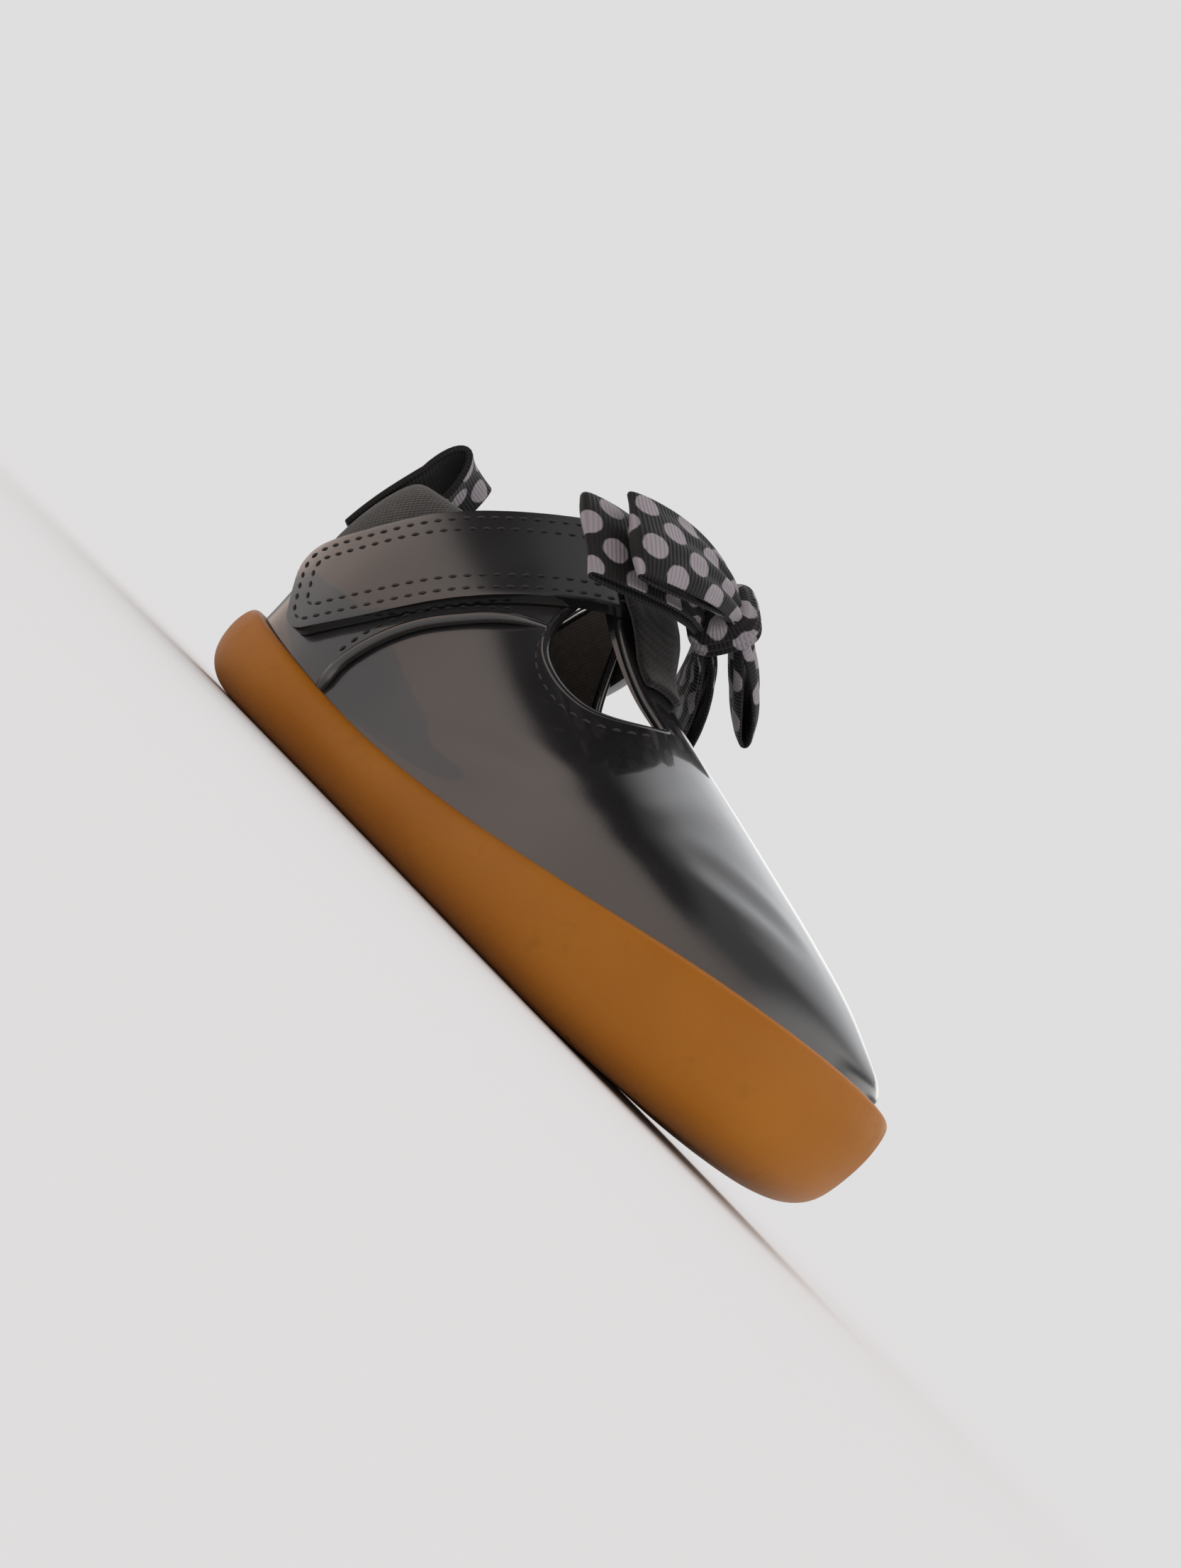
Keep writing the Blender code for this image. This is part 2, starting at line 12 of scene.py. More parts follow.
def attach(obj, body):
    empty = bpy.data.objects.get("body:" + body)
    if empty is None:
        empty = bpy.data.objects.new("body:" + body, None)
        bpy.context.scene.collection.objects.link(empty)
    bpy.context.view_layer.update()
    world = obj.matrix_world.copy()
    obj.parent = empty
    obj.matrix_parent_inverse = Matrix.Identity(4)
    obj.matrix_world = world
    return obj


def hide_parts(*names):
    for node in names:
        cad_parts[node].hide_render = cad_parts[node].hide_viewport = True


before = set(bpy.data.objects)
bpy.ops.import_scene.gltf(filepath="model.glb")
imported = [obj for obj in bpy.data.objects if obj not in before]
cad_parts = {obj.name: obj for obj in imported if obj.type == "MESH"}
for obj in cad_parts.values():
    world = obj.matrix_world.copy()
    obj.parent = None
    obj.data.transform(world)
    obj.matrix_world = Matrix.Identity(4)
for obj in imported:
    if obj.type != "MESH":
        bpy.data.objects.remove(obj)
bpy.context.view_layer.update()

MM = 0.001
GAP = 0.3
WELD = 0.002
SOFT_ANGLE = 60
EDGE_ANGLE = 50

# The shoe as a whole
LENGTH = 150.0
TOE_SPRING = 6.0
SPRING_FROM = 104.0
HEEL_LIFT = 2.0
LIFT_FROM = 16.0
WALL = 2.0
SHOE_MIDDLE = (55.0, 0.0, 20.0)

# Sections of the sole from heel to toe: half widths, height of the rim, fullness and swell of the upper
Section = namedtuple("Section", "x near far rim full swell")
SECTIONS = [
    Section(0.0, 0.0, 0.0, 16.0, 2.9, 2.2),
    Section(7.5, 15.4, 14.4, 15.2, 2.8, 2.2),
    Section(24.0, 21.4, 21.4, 13.2, 2.5, 2.4),
    Section(48.0, 21.4, 24.4, 11.6, 2.2, 2.5),
    Section(75.0, 24.8, 27.4, 13.0, 2.1, 1.8),
    Section(102.0, 30.0, 30.6, 16.2, 2.25, 0.9),
    Section(126.0, 29.6, 28.0, 20.2, 2.3, 0.5),
    Section(142.5, 19.4, 18.4, 23.2, 2.3, 0.3),
    Section(150.0, 0.0, 0.0, 24.6, 2.3, 0.3),
]
SWELL_TOP = 64.0
SWELL_POWER = 1.4

# The sole's side from tread to lip: inset, height above the tread, share of the height of the rim
Ring = namedtuple("Ring", "inset above share")
SOLE_RINGS = [
    Ring(9.0, 0.0, 0.0),
    Ring(5.6, 0.5, 0.0),
    Ring(3.0, 1.9, 0.0),
    Ring(1.1, 4.2, 0.0),
    Ring(0.2, 0.0, 0.52),
    Ring(0.0, 0.0, 0.72),
    Ring(0.5, -1.2, 1.0),
    Ring(1.3, -0.3, 1.0),
    Ring(2.2, 0.0, 1.0),
]
CUP_DEPTH = 5.0
INSOLE_THICK = 2.6
INSOLE_EDGE = 0.7
INSOLE_ROUND = 0.9

# Rings drawn in towards the middle line, as shares of their width, and the middle line's share of the length
UNDER_SHARES = (0.0, 0.35, 0.7, 0.94)
CUP_SHARES = (0.94, 0.6, 0.0)
INSOLE_UNDER_SHARES = (0.0, 0.6)
INSOLE_TOP_SHARES = (0.9, 0.5, 0.0)
MIDDLE_SHARE = 0.93

# Sipes under the forefoot and heel: points of each cut as x and y
SIPES = [
    ((24.0, -9.0), (27.0, 3.0), (33.0, 22.0)),
    ((34.5, -11.0), (38.0, 3.0), (45.0, 24.0)),
    ((46.0, -11.5), (49.5, 4.0), (57.0, 26.0)),
    ((57.5, -13.0), (61.0, 4.0), (69.0, 28.0)),
    ((69.7, -15.1), (74.0, 2.0), (81.0, 29.0)),
    ((79.6, -18.3), (84.4, 1.1), (96.0, 30.0)),
    ((90.0, -21.3), (95.9, -2.1), (107.0, 31.0)),
    ((102.2, -24.0), (107.4, -7.7), (121.0, 29.0)),
    ((114.8, -25.0), (121.3, -4.8), (133.5, 22.0)),
    ((126.4, -23.0), (131.1, -11.8), (141.0, 10.0)),
]
SIPE_WIDE = 0.6
SIPE_DEEP = 1.3
SIPE_BELOW = 3.0
SIPE_STEPS = 24

# The top line of the last along its middle
Ridge = namedtuple("Ridge", "x z")
RIDGE = [
    Ridge(24.0, 96.0), Ridge(34.0, 86.0), Ridge(44.0, 77.0), Ridge(54.0, 69.0), Ridge(62.0, 62.5),
    Ridge(70.0, 56.5), Ridge(78.0, 51.8), Ridge(88.0, 48.2), Ridge(99.0, 44.8), Ridge(112.0, 40.6),
    Ridge(125.0, 36.2), Ridge(136.0, 31.8), Ridge(143.5, 27.6),
]
UPPER_INSET = 2.8
END_INSET = 1.2
ON_RIDGE = 0.05
UPPER_GRID = (140, 34)
GUIDE_GRID = (160, 36)
TOE_EASED = 3.0
TOE_CROWDED = 0.35
TOE_PASSES = 8

# Edges drawn in the side view
Mark = namedtuple("Mark", "x z")
COLLAR_SEAM = [Mark(-12, 30), Mark(10, 30.5), Mark(19, 32.5), Mark(26, 38), Mark(33, 48), Mark(41, 59)]
WING_TOP = [Mark(46, 65.5), Mark(51, 67)]
EYE_BACK = [Mark(53.5, 60), Mark(55, 53), Mark(57, 47)]
EYE_LOW = [Mark(60.5, 42.6), Mark(65.5, 40.2), Mark(71, 39.2), Mark(77, 40), Mark(82, 43.6), Mark(86, 50)]
TOPLINE_HEIGHT = 54.0
TOPLINE_RISE = 1.5
TOPLINE_BACK = 20.0
COLLAR_FRONT = 33.0
COLLAR_WALL = 3.6
COLLAR_PUFF = 0.9
COLLAR_PUFF_TO = 14.0
BAR_HALF = 6.5
BAR_END = 55.0
FOLD_RADIUS = 1.15

# How finely the edges are drawn and found
EYE_STEPS = 70
EYE_PASSES = 3
WING_STEPS = 12
SEAM_STEPS = 40
SEAM_START = 35.0
SEAM_TRIES = 8
COLLAR_TRIES = 6
EDGE_STEPS = 50
EDGE_PITCH = 0.8
BAR_FROM = BAR_END + 10.0
BAR_NEAR = 0.5
BAR_FIRST = 0.6
BAR_STEP = 1.0
BAR_CORNER = (5.5, 4.0, 2.0)
CUTTER_WIDE = 60.0
CUTTER_HIGH = 140.0

# The collar's section, from its seam over the top and down inside: the share of its height, then how far
# out it stands, as a share of its puff less a share of its wall, and a distance
Pad = namedtuple("Pad", "share puff wall out")
COLLAR_PADS = [
    Pad(0.0, 0.0, 0.0, -0.2), Pad(0.06, 0.3, 0.0, 0.0), Pad(0.2, 1.0, 0.0, 0.0), Pad(0.45, 1.0, 0.0, 0.1),
    Pad(0.7, 1.0, 0.0, 0.0), Pad(0.88, 0.7, 0.0, -0.2), Pad(0.97, 0.4, 0.0, -0.9), Pad(1.0, 0.0, 0.5, -0.3),
    Pad(0.97, 0.0, 1.0, 0.6), Pad(0.85, 0.0, 1.0, -0.2), Pad(0.6, 0.0, 1.0, -0.5), Pad(0.3, 0.0, 1.0, -0.1),
    Pad(0.05, 0.0, 0.0, -WALL - 0.2), Pad(0.0, 0.0, 0.0, 0.2 - WALL),
]

# Strap: its middle line in the side view, up to where it crosses the ridge
STRAP_PATH = [Mark(16.6, 21.6), Mark(26.8, 32.0), Mark(36.3, 44.0), Mark(46.0, 55.0)]
STRAP_CROSS = 56.5
STRAP_WIDTH = 19.0
STRAP_THICK = 2.3
STRAP_ROUND = 4.5
STRAP_ROUND_LEAST = 0.6
STRAP_EDGE = 0.75
STRAP_ROWS = (1.7, 4.3)
STRAP_STEPS = 800
STRAP_RAISED = 2.0
STRAP_LAID = 1.0
STRAP_GRID = (120, 18)
STRAP_ENDS = [0.0, 0.15, 0.5, 1.1, 1.9, 2.9, 4.0]
STRAP_CLEAR = 5.0

# Saddle: its plan from above, then its height over the last from its rear end to the t-bar
SADDLE_HALF = 7.0
SADDLE_THICK = 1.4
SADDLE_BACK = 48.0
SADDLE_LONG = 29.0
SADDLE_LEAN = 0.7
SADDLE_LEAN_POWER = 1.5
SADDLE_NARROWS = 64.0
SADDLE_TAPER = 6.0
SADDLE_CORNER = 2.2
SADDLE_CORNER_SHARE = 0.11
SADDLE_EDGE = 0.5
SADDLE_GRID = (44, 14)
SADDLE_OVER = 2 * GAP + STRAP_THICK
Step = namedtuple("Step", "x out")
SADDLE_STEPS = [
    Step(SADDLE_BACK, SADDLE_OVER - 1.7), Step(49.2, SADDLE_OVER - 0.5), Step(51.0, SADDLE_OVER),
    Step(54.0, SADDLE_OVER), Step(58.0, SADDLE_OVER), Step(62.5, SADDLE_OVER), Step(65.5, SADDLE_OVER),
    Step(68.5, 2.0), Step(71.5, 0.8), Step(73.5, GAP), Step(SADDLE_BACK + SADDLE_LONG, GAP),
]

# Piping along the front edge of the quarter, in the side view
PIPING = [Mark(36.2, 13.6), Mark(36, 17), Mark(37.6, 23), Mark(41.2, 30), Mark(47, 37), Mark(53.4, 43.2)]
PIPING_TAIL = Mark(36.5, 9.5)
PIPING_HEAD = [Mark(55.4, 45.0), Mark(56.8, 46.2)]
PIPING_RADIUS = 1.0
PIPING_SUNK = 0.4
PIPING_PROUD = 0.8
PIPING_HEAD_OUT = (0.2, -0.3)
PIPING_STEPS = 80
PIPING_TAPER = ((0, 8, 68, 79), (0.55, 1.0, 1.0, 0.6))

# Soft creases of the patent: depth, half width, and points in the side view with their side
Crease = namedtuple("Crease", "deep wide side marks")
CREASES = [
    Crease(0.20, 2.8, -1, ((88, 25), (93, 32), (95, 39), (95, 43))),
    Crease(0.18, 2.6, -1, ((97, 25), (102, 31), (105, 36), (106, 39))),
    Crease(0.22, 2.0, -1, ((60, 20), (72, 24), (86, 27))),
    Crease(0.30, 2.2, -1, ((108, 31), (118, 32), (128, 32))),
    Crease(0.20, 2.8, 1, ((86, 24), (92, 31), (95, 38), (95, 43))),
    Crease(0.18, 2.6, 1, ((98, 26), (103, 32), (106, 36), (107, 39))),
    Crease(0.25, 2.2, 1, ((62, 21), (74, 24), (88, 27))),
    Crease(0.30, 2.6, -1, ((5, 24), (14, 21), (26, 18))),
]
CREASE_STEPS = 24
CREASE_FADE = 0.7
CREASE_LIP = 0.55
CREASE_LIP_AT = 1.5
CREASE_LIP_SHARP = 2.0

# Bow: its seat, then for each loop its side, turn, reach, heights at knot and fold, gape and half widths
BOW_X = 64.0
BOW_TURN = 8.0
BOW_THICK = 0.75
BOW_LIFT = 0.9
LOOP_START = 3.4
Loop = namedtuple("Loop", "name side turn reach root tip gape half_root half_tip")
LOOPS = [
    Loop("bow_loop_low_near", -1, 6.0, 29.0, 2.4, -10.0, 2.0, 4.4, 9.0),
    Loop("bow_loop_low_far", 1, 12.0, 27.0, 2.4, -9.0, 2.0, 4.4, 8.6),
    Loop("bow_loop_top_near", -1, 3.0, 28.0, 8.8, -2.6, 2.1, 4.2, 8.8),
    Loop("bow_loop_top_far", 1, 14.0, 25.0, 8.8, 5.0, 2.1, 4.2, 8.4),
]
LOOP_DROOP = 1.6
LOOP_ENDS = 0.003
LOOP_PRESSED = 0.8
LOOP_OPENED = 2.6
LOOP_PHASE = 0.9
LOOP_GATHER = 0.75
LOOP_GATHER_POWER = 1.3
LOOP_PLEATS = 3.5
LOOP_SWAY = 0.35
LOOP_SWAY_TURN = 2.0
LOOP_CURL = 0.5
LOOP_BULGE = 0.9
LOOP_PINCH = 0.72
LOOP_PINCH_POWER = 2.2
LOOP_PRINT = (2.1, 3.0)
LOOP_CENTRE = 0.6
KNOT_SIZE = (8.6, 13.0, 13.2)
KNOT_SQUARE = 0.62
KNOT_CLOSING = (3.2, 0.45)
KNOT_PLEAT = 0.045
KNOT_PLEATS = 5.0
KNOT_WANDER = 0.5
KNOT_SLACK = 0.96
KNOT_PRINT = (2.3, 1.15)

# Pull tab over the back of the collar
TAB_TURN = 0.085
TAB_THICK = 1.4
TAB_LOW = 39.0
TAB_TOP = 67.0
TAB_INSIDE = 42.0
TAB_CLEAR = GAP + 0.2
TAB_FOLD = TOPLINE_HEIGHT + 3.0
TAB_STEPS = (18, 19, 14)
TAB_WIDE = 12.0
TAB_PRINT = 1.2
TAB_EDGE = 0.4
TAB_MIDDLE = (7.0, 0.0, 46.0)

# Thread, and the rows that it is sewn in: how far from the edge, and how they are drawn
STITCH_LONG = 1.7
STITCH_PITCH = 2.5
STITCH_RADIUS = 0.24
STITCH_BEND = 0.28
STITCH_PROUD = 0.12
STITCH_REACH = 2.5
ROW_PITCH = 1.0
CORNER_STEPS = 6
EYE_ROW = 2.6
EYE_ROW_LEAN = 0.35
EYE_ROW_FROM = 2.0
EYE_ROW_BELOW = 3.0
EYE_ROW_PASSES = 6
SEAM_ROW = 2.2
SEAM_ROW_SHORT = 4.0
SEAM_ROW_STEPS = 120
PIPING_ROW = 2.6
PIPING_ROW_RISE = 0.6
PIPING_ROW_STEPS = 50


# The shoe's curves

def spline(rows, column, key="x"):
    """A function through a column of a table, by cubic pieces with no corners."""
    xs = [float(getattr(row, key)) for row in rows]
    ys = [float(getattr(row, column)) for row in rows]
    slopes = np.gradient(ys, xs).tolist()

    def at(x):
        i = min(max(bisect_left(xs, x) - 1, 0), len(xs) - 2)
        wide = xs[i + 1] - xs[i]
        t = (x - xs[i]) / wide
        start = (1 + 2 * t) * (1 - t) ** 2 * ys[i] + t * (1 - t) ** 2 * wide * slopes[i]
        return start + t * t * (3 - 2 * t) * ys[i + 1] + t * t * (t - 1) * wide * slopes[i + 1]
    return at


squared = [row._replace(near=row.near**2, far=row.far**2) for row in SECTIONS]
near_square = spline(squared, "near")
far_square = spline(squared, "far")
rim = spline(SECTIONS, "rim")
fullness = spline(SECTIONS, "full")
swelling = spline(SECTIONS, "swell")
ridge = spline(RIDGE, "z")
seam_height = spline(COLLAR_SEAM, "z")
saddle_out = spline(SADDLE_STEPS, "out")


def edge(turn):
    """A point of the sole's widest outline: turn 0 is the toe, 1 the heel, and 1 to 2 the far side."""
    x = LENGTH * (0.5 + 0.5 * cos(pi * turn))
    near = turn % 2 < 1
    half = sqrt(max(near_square(x) if near else far_square(x), 0.0))
    return np.array([x, -half if near else half])


@lru_cache(maxsize=None)
def edge_in(turn, inset):
    """The same point moved in, square to the outline."""
    step = 0.004
    along = edge(turn + step) - edge(turn - step)
    inward = np.array([along[1], -along[0]]) / np.hypot(*along)
    return edge(turn) + inward * inset


def tread(x):
    """The height of the sole's underside."""
    spring = max(x - SPRING_FROM, 0.0) / (LENGTH - SPRING_FROM)
    lift = max(LIFT_FROM - x, 0.0) / LIFT_FROM
    return TOE_SPRING * spring**2 + HEEL_LIFT * lift**2


def bed(x):
    """The floor of the cup that the upper stands in."""
    return rim(x) - CUP_DEPTH


def upper_inset(turn):
    return UPPER_INSET + END_INSET * cos(pi * turn) ** 4


@lru_cache(maxsize=None)
def foot(turn):
    """Where the upper's outer face meets the cup, the ridge point over it, its fullness and its swell."""
    x, y = edge_in(turn, upper_inset(turn))
    low, high = edge_in(1, upper_inset(1))[0], edge_in(0, upper_inset(0))[0]
    over = RIDGE[0].x + (x - low) / (high - low) * (RIDGE[-1].x - RIDGE[0].x)
    base = np.array([x, y, bed(x) + GAP])
    top = np.array([over, 0.0, ridge(over)])
    outward = np.append(edge(turn) - (x, y), 0.0) / upper_inset(turn) * swelling(x)
    return base, top, fullness(x), outward


def skin(turn, rise):
    """A point of the last's outer face: rise 0 is in the cup and rise 1 is on the ridge."""
    base, top, full, outward = foot(turn)
    inward = 1 - cos(rise * pi / 2) ** (2 / full)
    upward = sin(rise * pi / 2) ** (2 / full)
    point = base + (top - base) * np.array([inward, inward, upward])
    lip = base[2] + CUP_DEPTH
    share = (point[2] - lip) / (min(SWELL_TOP, top[2]) - lip)
    return point + outward * sin(pi * min(max(share, 0.0), 1.0)) ** SWELL_POWER


def skin_normal(turn, rise):
    step = 0.003
    top, near_top = 1 - 1e-4, 1 - 1e-3
    low, high = max(rise - step, 0.0), min(rise + step, top)
    up = skin(turn, high) - skin(turn, low)
    along = skin(turn + step, min(rise, near_top)) - skin(turn - step, min(rise, near_top))
    normal = np.cross(up, along)
    return normal / np.linalg.norm(normal)


def wall(turn, rise, out=0.0):
    return skin(turn, rise) + skin_normal(turn, rise) * out


def rise_at(turn, z):
    """How far up its column a height lies."""
    base, top, full, _ = foot(turn)
    share = min(max((z - base[2]) / (top[2] - base[2]), 0.0), 1.0)
    return asin(share ** (full / 2)) / (pi / 2)


def halved(is_before, halvings=22):
    """The place between 0 and 1 where a test stops being true."""
    low, high = 0.0, 1.0
    for _ in range(halvings):
        middle = (low + high) / 2
        if is_before(middle):
            low = middle
        else:
            high = middle
    return low


def turn_at(x, z, side):
    """The column of a point that the side view shows at x and z."""
    found = halved(lambda turn: skin(turn, rise_at(turn, z))[0] > x)
    return found if side < 0 else 2 - found


def on_side(x, z, side, out=0.0):
    turn = turn_at(x, z, side)
    return wall(turn, rise_at(turn, z), out)


def on_top(x, y, out=0.0):
    """A point near the ridge, by its place from above."""
    low = halved(lambda turn: foot(turn)[1][0] > x)
    turn = low if y <= 0 else 2 - low
    base, _, full, _ = foot(turn)
    rise = acos(min(abs(y / base[1]), 1.0) ** (full / 2)) / (pi / 2)
    if abs(y) > ON_RIDGE:
        return wall(turn, rise, out)
    middle = (wall(low, 1.0, out) + wall(2 - low, 1.0, out)) / 2
    return middle * np.array([1.0, 0.0, 1.0])


def topline(x):
    return TOPLINE_HEIGHT + TOPLINE_RISE * max(0.0, 1 - x / TOPLINE_BACK) ** 2


def curve_through(marks, count):
    """Points spaced along a smooth curve through some points, and its length."""
    marks = np.array(marks, float)
    far = np.concatenate([[0], np.cumsum(np.linalg.norm(np.diff(marks, axis=0), axis=1))])
    Knot = namedtuple("Knot", "x " + " ".join("abc"[:marks.shape[1]]))
    rows = [Knot(d, *p) for d, p in zip(far, marks)]
    columns = [spline(rows, c) for c in "abc"[:marks.shape[1]]]
    return np.array([[at(d) for at in columns] for d in np.linspace(0, far[-1], count)]), far[-1]


def even(points, pitch, closed=False):
    """The same path with points a pitch apart."""
    points = np.array(points, float)
    if closed:
        points = np.vstack([points, points[:1]])
    far = np.concatenate([[0], np.cumsum(np.linalg.norm(np.diff(points, axis=0), axis=1))])
    count = max(int(round(far[-1] / pitch)), 2)
    at = np.linspace(0, far[-1], count + 1)
    if closed:
        at = at[:-1]
    return np.stack([np.interp(at, far, points[:, c]) for c in range(points.shape[1])], 1)


def eased(points, passes, closed=False):
    """The same path with its corners eased."""
    points = np.array(points, float)
    for _ in range(passes):
        middle = (np.roll(points, 1, 0) + np.roll(points, -1, 0)) / 4 + points / 2
        if not closed:
            middle[0], middle[-1] = points[0], points[-1]
        points = middle
    return points


# Modelling

def set_place(p):
    """A point in millimetres from the heel as a place in the frame."""
    return Vector(((p[0] - LENGTH / 2) * MM, p[1] * MM, p[2] * MM))


def take(piece):
    """Makes a piece the only one selected."""
    bpy.ops.object.select_all(action="DESELECT")
    piece.select_set(True)
    bpy.context.view_layer.objects.active = piece
    return piece


def named(name):
    made = bpy.context.object
    made.name = made.data.name = name
    return take(made)


def finish_with(piece, kind, **settings):
    """Adds a modifier and applies it."""
    take(piece)
    modifier = piece.modifiers.new(kind.lower(), kind)
    for key, value in settings.items():
        setattr(modifier, key, value)
    bpy.ops.object.modifier_apply(modifier=modifier.name)
    return piece


def subdivide(piece, levels):
    return finish_with(piece, "SUBSURF", levels=levels, render_levels=levels)


def ease_edges(piece, wide, segments):
    return finish_with(piece, "BEVEL", width=wide * MM, segments=segments, limit_method="ANGLE",
                       angle_limit=radians(EDGE_ANGLE))


def thicken(piece, thick, offset, **settings):
    return finish_with(piece, "SOLIDIFY", thickness=thick * MM, offset=offset, **settings)


def cover(piece, *materials):
    for material in materials:
        piece.data.materials.append(material)


def loft(name, rings, loop=False):
    """A circle extruded ring by ring, each point of a ring set in its place; near ends are welded."""
    count = len(rings[0])
    bpy.ops.object.select_all(action="DESELECT")
    bpy.ops.mesh.primitive_circle_add(vertices=count, radius=MM)
    piece = named(name)
    bpy.ops.object.mode_set(mode="EDIT")
    bpy.ops.mesh.select_all(action="SELECT")
    shape = bmesh.from_edit_mesh(piece.data)
    order = shape.verts.layers.int.new("order")
    for k, vertex in enumerate(shape.verts):
        vertex[order] = k
    for r, ring in enumerate(rings):
        if r:
            bpy.ops.mesh.extrude_region_move()
            shape = bmesh.from_edit_mesh(piece.data)
            order = shape.verts.layers.int["order"]
        for vertex in shape.verts:
            if vertex.select:
                vertex.co = set_place(ring[vertex[order]])
    if loop:
        shape.verts.ensure_lookup_table()
        for vertex in shape.verts:
            vertex.select_set(vertex.index < count or vertex.select)
        shape.select_flush(True)
        bmesh.update_edit_mesh(piece.data)
        bpy.ops.mesh.bridge_edge_loops()
    bpy.ops.mesh.select_all(action="SELECT")
    bpy.ops.mesh.remove_doubles(threshold=WELD * MM)
    bpy.ops.mesh.normals_make_consistent(inside=False)
    bpy.ops.object.mode_set(mode="OBJECT")
    piece.data.attributes.remove(piece.data.attributes["order"])
    return piece


def sheet(name, columns, rows, place, pattern=None):
    """A flat grid laid where a function of its two shares says, with the run of a pattern if it has one."""
    bpy.ops.object.select_all(action="DESELECT")
    bpy.ops.mesh.primitive_grid_add(x_subdivisions=columns, y_subdivisions=rows, size=2)
    piece = named(name)
    flat = [(0.5 + v.co.x / 2, 0.5 + v.co.y / 2) for v in piece.data.vertices]
    if pattern:
        run = piece.data.attributes.new("ribbon", "FLOAT_VECTOR", "POINT")
        for k, (u, v) in enumerate(flat):
            run.data[k].vector = (*pattern(u, v), 0.0)
    for vertex, (u, v) in zip(piece.data.vertices, flat):
        vertex.co = set_place(place(u, v))
    return piece


def face_out(piece, centre=SHOE_MIDDLE):
    """Turns a sheet's faces away from the middle of the shoe."""
    middle = set_place(centre)
    if sum((f.center - middle).dot(f.normal) * f.area for f in piece.data.polygons) < 0:
        take(piece)
        bpy.ops.object.mode_set(mode="EDIT")
        bpy.ops.mesh.select_all(action="SELECT")
        bpy.ops.mesh.flip_normals()
        bpy.ops.object.mode_set(mode="OBJECT")
    return piece


def prism(name, outline, y_from, y_to):
    """A cutter: an outline in the side view, carried across the shoe."""
    bpy.ops.object.select_all(action="DESELECT")
    bpy.ops.mesh.primitive_circle_add(vertices=len(outline), radius=MM, fill_type="NGON")
    piece = named(name)
    for vertex, p in zip(piece.data.vertices, outline):
        vertex.co = set_place((p[0], y_from, p[1]))
    bpy.ops.object.mode_set(mode="EDIT")
    bpy.ops.mesh.select_all(action="SELECT")
    bpy.ops.mesh.extrude_region_move(TRANSFORM_OT_translate={"value": (0, (y_to - y_from) * MM, 0)})
    bpy.ops.mesh.select_all(action="SELECT")
    bpy.ops.mesh.normals_make_consistent(inside=False)
    bpy.ops.object.mode_set(mode="OBJECT")
    return piece


def cut(piece, cutter):
    finish_with(piece, "BOOLEAN", operation="DIFFERENCE", solver="EXACT", object=cutter)
    bpy.data.objects.remove(cutter)


def joined(pieces):
    """Several pieces made one."""
    take(pieces[0])
    for piece in pieces[1:]:
        piece.select_set(True)
    bpy.ops.object.join()
    return pieces[0]


def tube(name, path, radius, around=12, closed=False):
    """A round bead along a path, its ends drawn in; its radius is one for all or one for each point."""
    path = np.array(path)
    count = len(path)
    radii = np.broadcast_to(radius, count)
    rings = []
    side = np.array([0.0, 0.0, 1.0])
    for i in range(count):
        after = path[(i + 1) % count] if closed else path[min(i + 1, count - 1)]
        before = path[i - 1] if closed else path[max(i - 1, 0)]
        tangent = (after - before) / np.linalg.norm(after - before)
        side = side - tangent * side.dot(tangent)
        side = side / np.linalg.norm(side)
        other = np.cross(tangent, side)
        angles = [2 * pi * k / around for k in range(around)]
        rings.append([path[i] + radii[i] * (cos(a) * side + sin(a) * other) for a in angles])
    if not closed:
        rings = [[path[0]] * around] + rings + [[path[-1]] * around]
    return loft(name, rings, closed)


# Shader maths

# The sockets that take a Mix node's two colours
MIX_COLOURS = (6, 7)


class Link:
    """A shader socket; a sum on it adds a Math node."""

    def __init__(self, finish, socket):
        self.finish, self.socket = finish, socket

    def math(self, operation, *rest):
        return self.finish.node("ShaderNodeMath", {"operation": operation}, dict(enumerate((self, *rest))))

    def after(self, operation, first):
        return self.finish.node("ShaderNodeMath", {"operation": operation}, {0: first, 1: self})

    def __add__(self, other):
        return self.math("ADD", other)

    def __sub__(self, other):
        return self.math("SUBTRACT", other)

    def __mul__(self, other):
        return self.math("MULTIPLY", other)

    def __truediv__(self, other):
        return self.math("DIVIDE", other)

    def __radd__(self, other):
        return self.math("ADD", other)

    def __rmul__(self, other):
        return self.math("MULTIPLY", other)

    def __rsub__(self, other):
        return self.after("SUBTRACT", other)

    def __rtruediv__(self, other):
        return self.after("DIVIDE", other)


